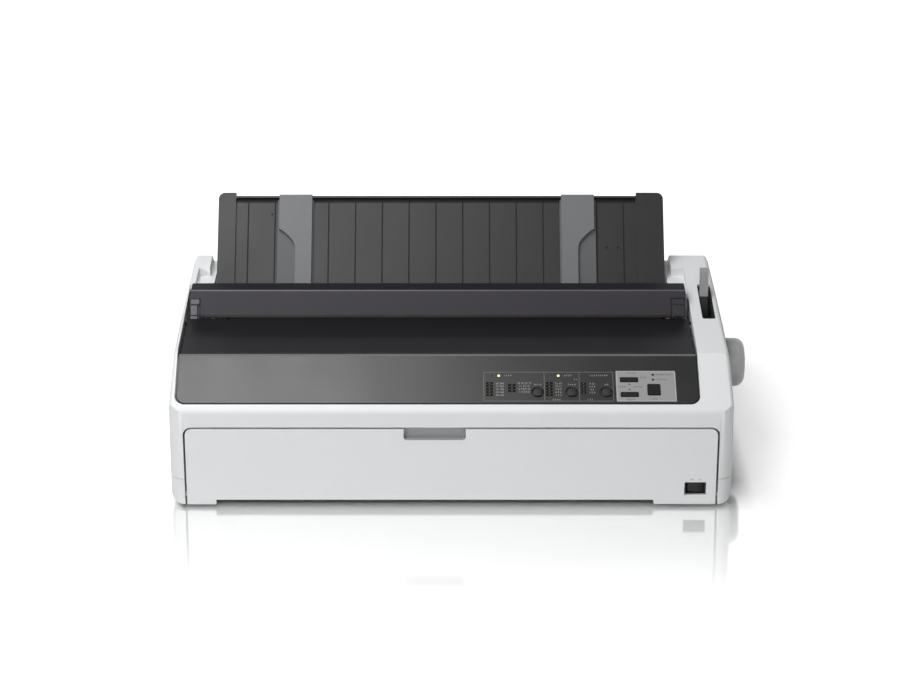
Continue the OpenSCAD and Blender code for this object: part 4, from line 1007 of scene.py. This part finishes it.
@dataclass
class Studio:
    """Pale floor, soft lamps and the camera at the photograph's angle. Its sizes are metres."""

    lens: float = 103.12
    pitch: float = 22.0
    eye: tuple[float, float, float] = (-0.015, -2.7434, 1.2125)
    wall: tuple[Point, ...] = ((0, 0), (7.6, 0), (8.4, 0.2), (8.85, 0.7), (9, 1.4), (9, 4.9))
    floor_lift: float = 0.5
    polish: float = 0.55
    half_size: Point = (0.31, 0.2)
    mirror_depth: Point = (-0.52, -0.13)
    mirror_width: Point = (0.33, 0.42)
    ceiling: float = 0.2
    softboxes: tuple[Softbox, ...] = (
        Softbox("Softbox above left", (-0.65, -0.6, 1.9), (-0.65, -0.6, 0.0), (1.1, 1.8), 36),
        Softbox("Softbox front", (-0.6, -3.2, 1.6), (0, 0, 0.1), (2.4, 1.6), 35))

    def build(self) -> None:
        """Sets the stage."""
        self.camera()
        self.floor()
        self.lamps()
        bpy.context.scene.view_settings.view_transform = "Standard"

    def camera(self) -> None:
        """Makes the camera."""
        data = bpy.data.cameras.new("Camera")
        data.lens = self.lens
        data.sensor_width = 36.0
        data.clip_end = 60.0
        eye = bpy.data.objects.new("Camera", data)
        eye.location = self.eye
        eye.rotation_euler = (radians(90 - self.pitch), 0, 0)
        bpy.context.scene.collection.objects.link(eye)
        bpy.context.scene.camera = eye

    def floor(self) -> None:
        """Makes the white floor, which curves up to a wall all round. It keeps the printer's shadow."""
        mesh = bmesh.new()
        points = [mesh.verts.new((x, 0, z)) for x, z in self.wall]
        edges = [mesh.edges.new(pair) for pair in zip(points, points[1:])]
        bmesh.ops.spin(mesh, geom=points + edges, cent=(0, 0, 0), axis=(0, 0, 1), angle=2 * pi, steps=64,
                       use_merge=True)
        bmesh.ops.remove_doubles(mesh, verts=mesh.verts, dist=1e-5)
        data = bpy.data.meshes.new("Floor")
        mesh.to_mesh(data)
        mesh.free()
        for face in data.polygons:
            face.use_smooth = True
        floor = bpy.data.objects.new("Floor", data)
        bpy.context.scene.collection.objects.link(floor)
        data.materials.append(self.white_paint())

    def white_paint(self) -> bpy.types.Material:
        """Makes the floor's paint, polished just in front of the printer so that it shows its front there.

        Returns:
            The material.
        """
        material = bpy.data.materials.new("White studio floor")
        material.use_nodes = True
        tree = material.node_tree
        shader = tree.nodes["Principled BSDF"]
        shader.inputs["Base Color"].default_value = linear("#e2e2e2")
        shader.inputs["Roughness"].default_value = 0.5
        shader.inputs["Specular IOR Level"].default_value = 0.25
        path = add_node(tree, "LightPath").outputs
        seen = joined(tree, "MAXIMUM", path["Is Camera Ray"], path["Is Glossy Ray"], path["Is Transmission Ray"])
        place = add_node(tree, "TexCoord").outputs["Object"]
        away = add_node(tree, "VectorMath", {0: place}, operation="LENGTH").outputs["Value"]
        level = ramp(tree, away, (0.35, 0.9), (self.floor_lift, self.floor_lift + 0.5))
        polished = self.polished(tree, place)
        calmer = ramp(tree, polished, (0.0, 1.0), (1.0, 0.5))
        open_floor = ramp(tree, self.outside(tree, place), (-0.012, 0.012), (0.0, 1.0))
        lift = joined(tree, "MULTIPLY", seen, level, calmer, open_floor)
        tree.links.new(lift, shader.inputs["Emission Strength"])
        shader.inputs["Emission Color"].default_value = (1, 1, 1, 1)
        weight = ramp(tree, polished, (0.0, 1.0), (0.0, self.polish))
        mirror = add_node(tree, "BsdfAnisotropic", Roughness=0.08)
        mirror.inputs["Color"].default_value = (1, 1, 1, 1)
        mixed = add_node(tree, "MixShader", {0: weight, 1: shader.outputs[0], 2: mirror.outputs[0]})
        tree.links.new(mixed.outputs[0], tree.nodes["Material Output"].inputs["Surface"])
        return material

    def polished(self, tree: bpy.types.NodeTree, place: bpy.types.NodeSocket) -> bpy.types.NodeSocket:
        """Works out how polished a point of the floor is: fully in front of the printer, fading from there.

        Args:
            tree: Node tree of the floor's paint.
            place: Socket of the point.

        Returns:
            Socket of that share.
        """
        axes = add_node(tree, "SeparateXYZ", {0: place}).outputs
        across = add_node(tree, "Math", {0: axes["X"]}, operation="ABSOLUTE").outputs[0]
        far, under = self.mirror_depth
        front = -self.half_size[1]
        return joined(tree, "MULTIPLY", ramp(tree, axes["Y"], (far, front), (0.0, 1.0)),
                      ramp(tree, axes["Y"], (front, under), (1.0, 0.0)),
                      ramp(tree, across, self.mirror_width, (1.0, 0.0)))

    def outside(self, tree: bpy.types.NodeTree, place: bpy.types.NodeSocket) -> bpy.types.NodeSocket:
        """Works out how far a point of the floor is outside the printer's footprint.

        Args:
            tree: Node tree of the floor's paint.
            place: Socket of the point.

        Returns:
            Socket of that distance, negative under the printer.
        """
        axes = add_node(tree, "SeparateXYZ", {0: place}).outputs
        gaps = []
        for axis, half in zip("XY", self.half_size):
            size = add_node(tree, "Math", {0: axes[axis]}, operation="ABSOLUTE")
            gap = add_node(tree, "Math", {0: size.outputs[0]}, operation="SUBTRACT")
            gap.inputs[1].default_value = half
            gaps.append(gap.outputs[0])
        return joined(tree, "MAXIMUM", *gaps)

    def lamps(self) -> None:
        """Hangs the lamps and sets the pale ceiling."""
        for softbox in self.softboxes:
            softbox.hang()
        world = bpy.context.scene.world or bpy.data.worlds.new("Studio")
        bpy.context.scene.world = world
        world.use_nodes = True
        tree = world.node_tree
        tree.nodes.clear()
        ceiling = add_node(tree, "Background", Strength=self.ceiling)
        ceiling.inputs["Color"].default_value = (1, 1, 1, 1)
        add_node(tree, "OutputWorld", {"Surface": ceiling.outputs[0]})


def main() -> None:
    """Builds the printer and its studio."""
    for part in (Studio(), CaseShells(), ControlPanel(), Covers(), SheetFeeder(), Mechanism()):
        part.build()
        LOG.info("%s built", type(part).__name__)


if __name__ == "__main__":
    main()
